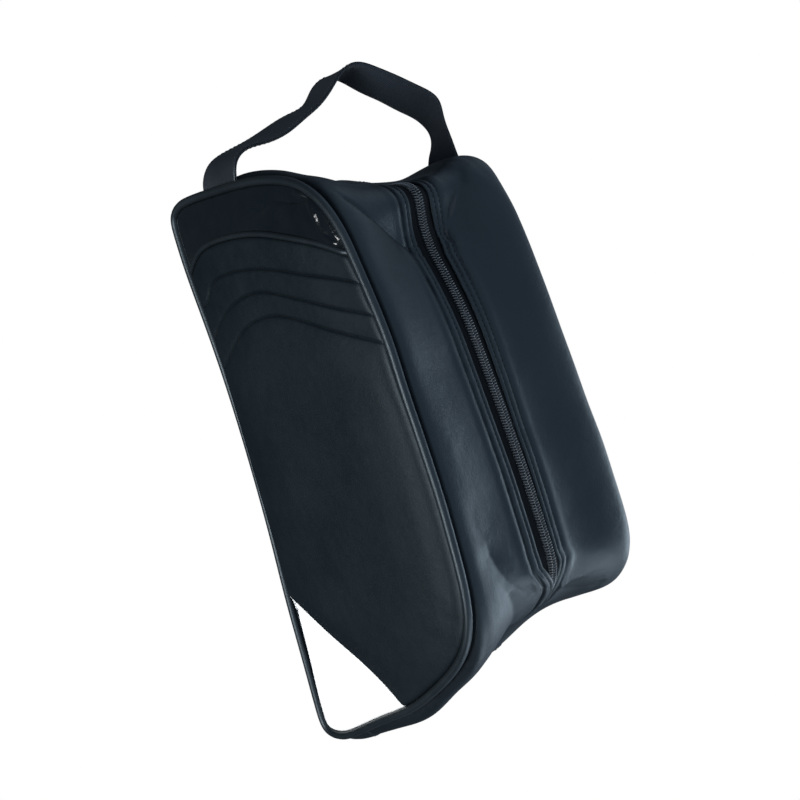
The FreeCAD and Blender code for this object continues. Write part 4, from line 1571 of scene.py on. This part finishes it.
def strap_stitching():
    parts = []
    for edge in SIDES:
        for face, height in ((1, 1.03), (-1, 0.98)):
            line = strap_line + strap_across * (edge * 14.4) + strap_out * (face * height)
            parts += stitch_row(line, face * strap_out, pitch=3.0, length=2.2, radius=0.24,
                                sink=0.04)
    fit(mesh_obj("strap_stitching", *join(parts)), THREAD, "webbing", motion=STRAP_MOTION)


fit(strap_layer("strap_webbing", -1.0, 0.2, 16.8), TWILL, "webbing", "handle_webbing",
    "near_handle_anchor", "far_handle_anchor", motion=STRAP_MOTION)
fit(strap_layer("strap_facing", 0.2, 1.05, 16.4), PU_STRAP, "pu_matte", "handle_facing",
    motion=STRAP_MOTION)
strap_stitching()

# =============================================================================
# floor, camera, light
# =============================================================================


def white_floor():
    material = bpy.data.materials.new("floor_white")
    nodes = Nodes(material)
    output = nodes.node("ShaderNodeOutputMaterial")
    glow = nodes.node("ShaderNodeEmission", {"Color": (1, 1, 1, 1), "Strength": 1.0})
    nodes.put(output.inputs[0], glow.outputs[0])
    reach, level = 4000.0, -0.6
    corners = ((-1, -1), (1, -1), (1, 1), (-1, 1))
    floor = mesh_obj("floor", [(x * reach, y * reach, level) for x, y in corners],
                     [(0, 1, 2, 3)], smooth_on=False)
    shade(floor, material)
    # seen by the camera only
    floor.visible_diffuse = False
    floor.visible_glossy = False
    floor.visible_shadow = False


def camera():
    data = bpy.data.cameras.new("photo_camera")
    data.lens = 63.42
    data.sensor_width = 36
    data.clip_end = 50
    obj = bpy.data.objects.new("photo_camera", data)
    scene.collection.objects.link(obj)
    turn = Matrix(((0.2718, -0.9593, -0.0770),
                   (0.7651, 0.2639, -0.5874),
                   (0.5838, 0.1007, 0.8057))).to_4x4()
    obj.matrix_world = Matrix.Translation((-0.0892, -0.4987, 0.7786)) @ turn
    scene.camera = obj


def studio_world():
    """White to the camera; to the bag, a soft cool glow from above and +y."""
    world = bpy.data.worlds.new("studio")
    scene.world = world
    nodes = Nodes(world)
    output = nodes.node("ShaderNodeOutputWorld")
    direction = nodes.node("ShaderNodeTexCoord").outputs["Generated"]
    facing = nodes.node("ShaderNodeVectorMath", operation="DOT_PRODUCT",
                        inputs={0: direction, 1: (0.05, 0.60, 0.80)}).outputs["Value"]
    # from facing away from the glow (0) to facing it (1)
    sky = nodes.ramp(nodes.remap(facing, (-1.0, 1.0), (0.0, 1.0)), [
        (0.0, (0.030, 0.036, 0.042)), (0.25, (0.030, 0.036, 0.042)), (0.45, (0.08, 0.10, 0.13)),
        (0.62, (0.32, 0.39, 0.48)), (0.76, (0.50, 0.61, 0.74)), (0.92, (0.38, 0.47, 0.58)),
        (1.0, (0.36, 0.45, 0.56))])
    glow, white = (nodes.node("ShaderNodeBackground", {"Color": color, "Strength": 1.0}).outputs[0]
                   for color in (sky, (1, 1, 1, 1)))
    seen = nodes.node("ShaderNodeLightPath").outputs["Is Camera Ray"]
    mix = nodes.node("ShaderNodeMixShader", {0: seen, 1: glow, 2: white})
    nodes.put(output.inputs[0], mix.outputs[0])


def area_light(name, location, target, size, power, color):
    data = bpy.data.lights.new(name, "AREA")
    data.energy = power
    data.color = color
    data.size = size
    obj = bpy.data.objects.new(name, data)
    scene.collection.objects.link(obj)
    obj.location = location
    aim = Vector(target) - Vector(location)
    obj.rotation_euler = aim.to_track_quat("-Z", "Y").to_euler()


white_floor()
camera()
studio_world()
area_light("front_fill", location=(0.15, -1.9, 0.22), target=(0, 0, 0.08), size=1.1, power=43,
           color=(0.99, 1.0, 1.0))
area_light("far_side", location=(0.75, 1.75, 0.5), target=(0.0, 0, 0.14), size=1.3, power=22,
           color=(0.78, 0.90, 1.0))
area_light("plain_end", location=(1.75, 0.35, 0.75), target=(0.05, 0, 0.10), size=1.2, power=14,
           color=(0.86, 0.94, 1.0))
scene.render.film_transparent = False
scene.view_settings.view_transform = "Standard"
scene.view_settings.look = "None"
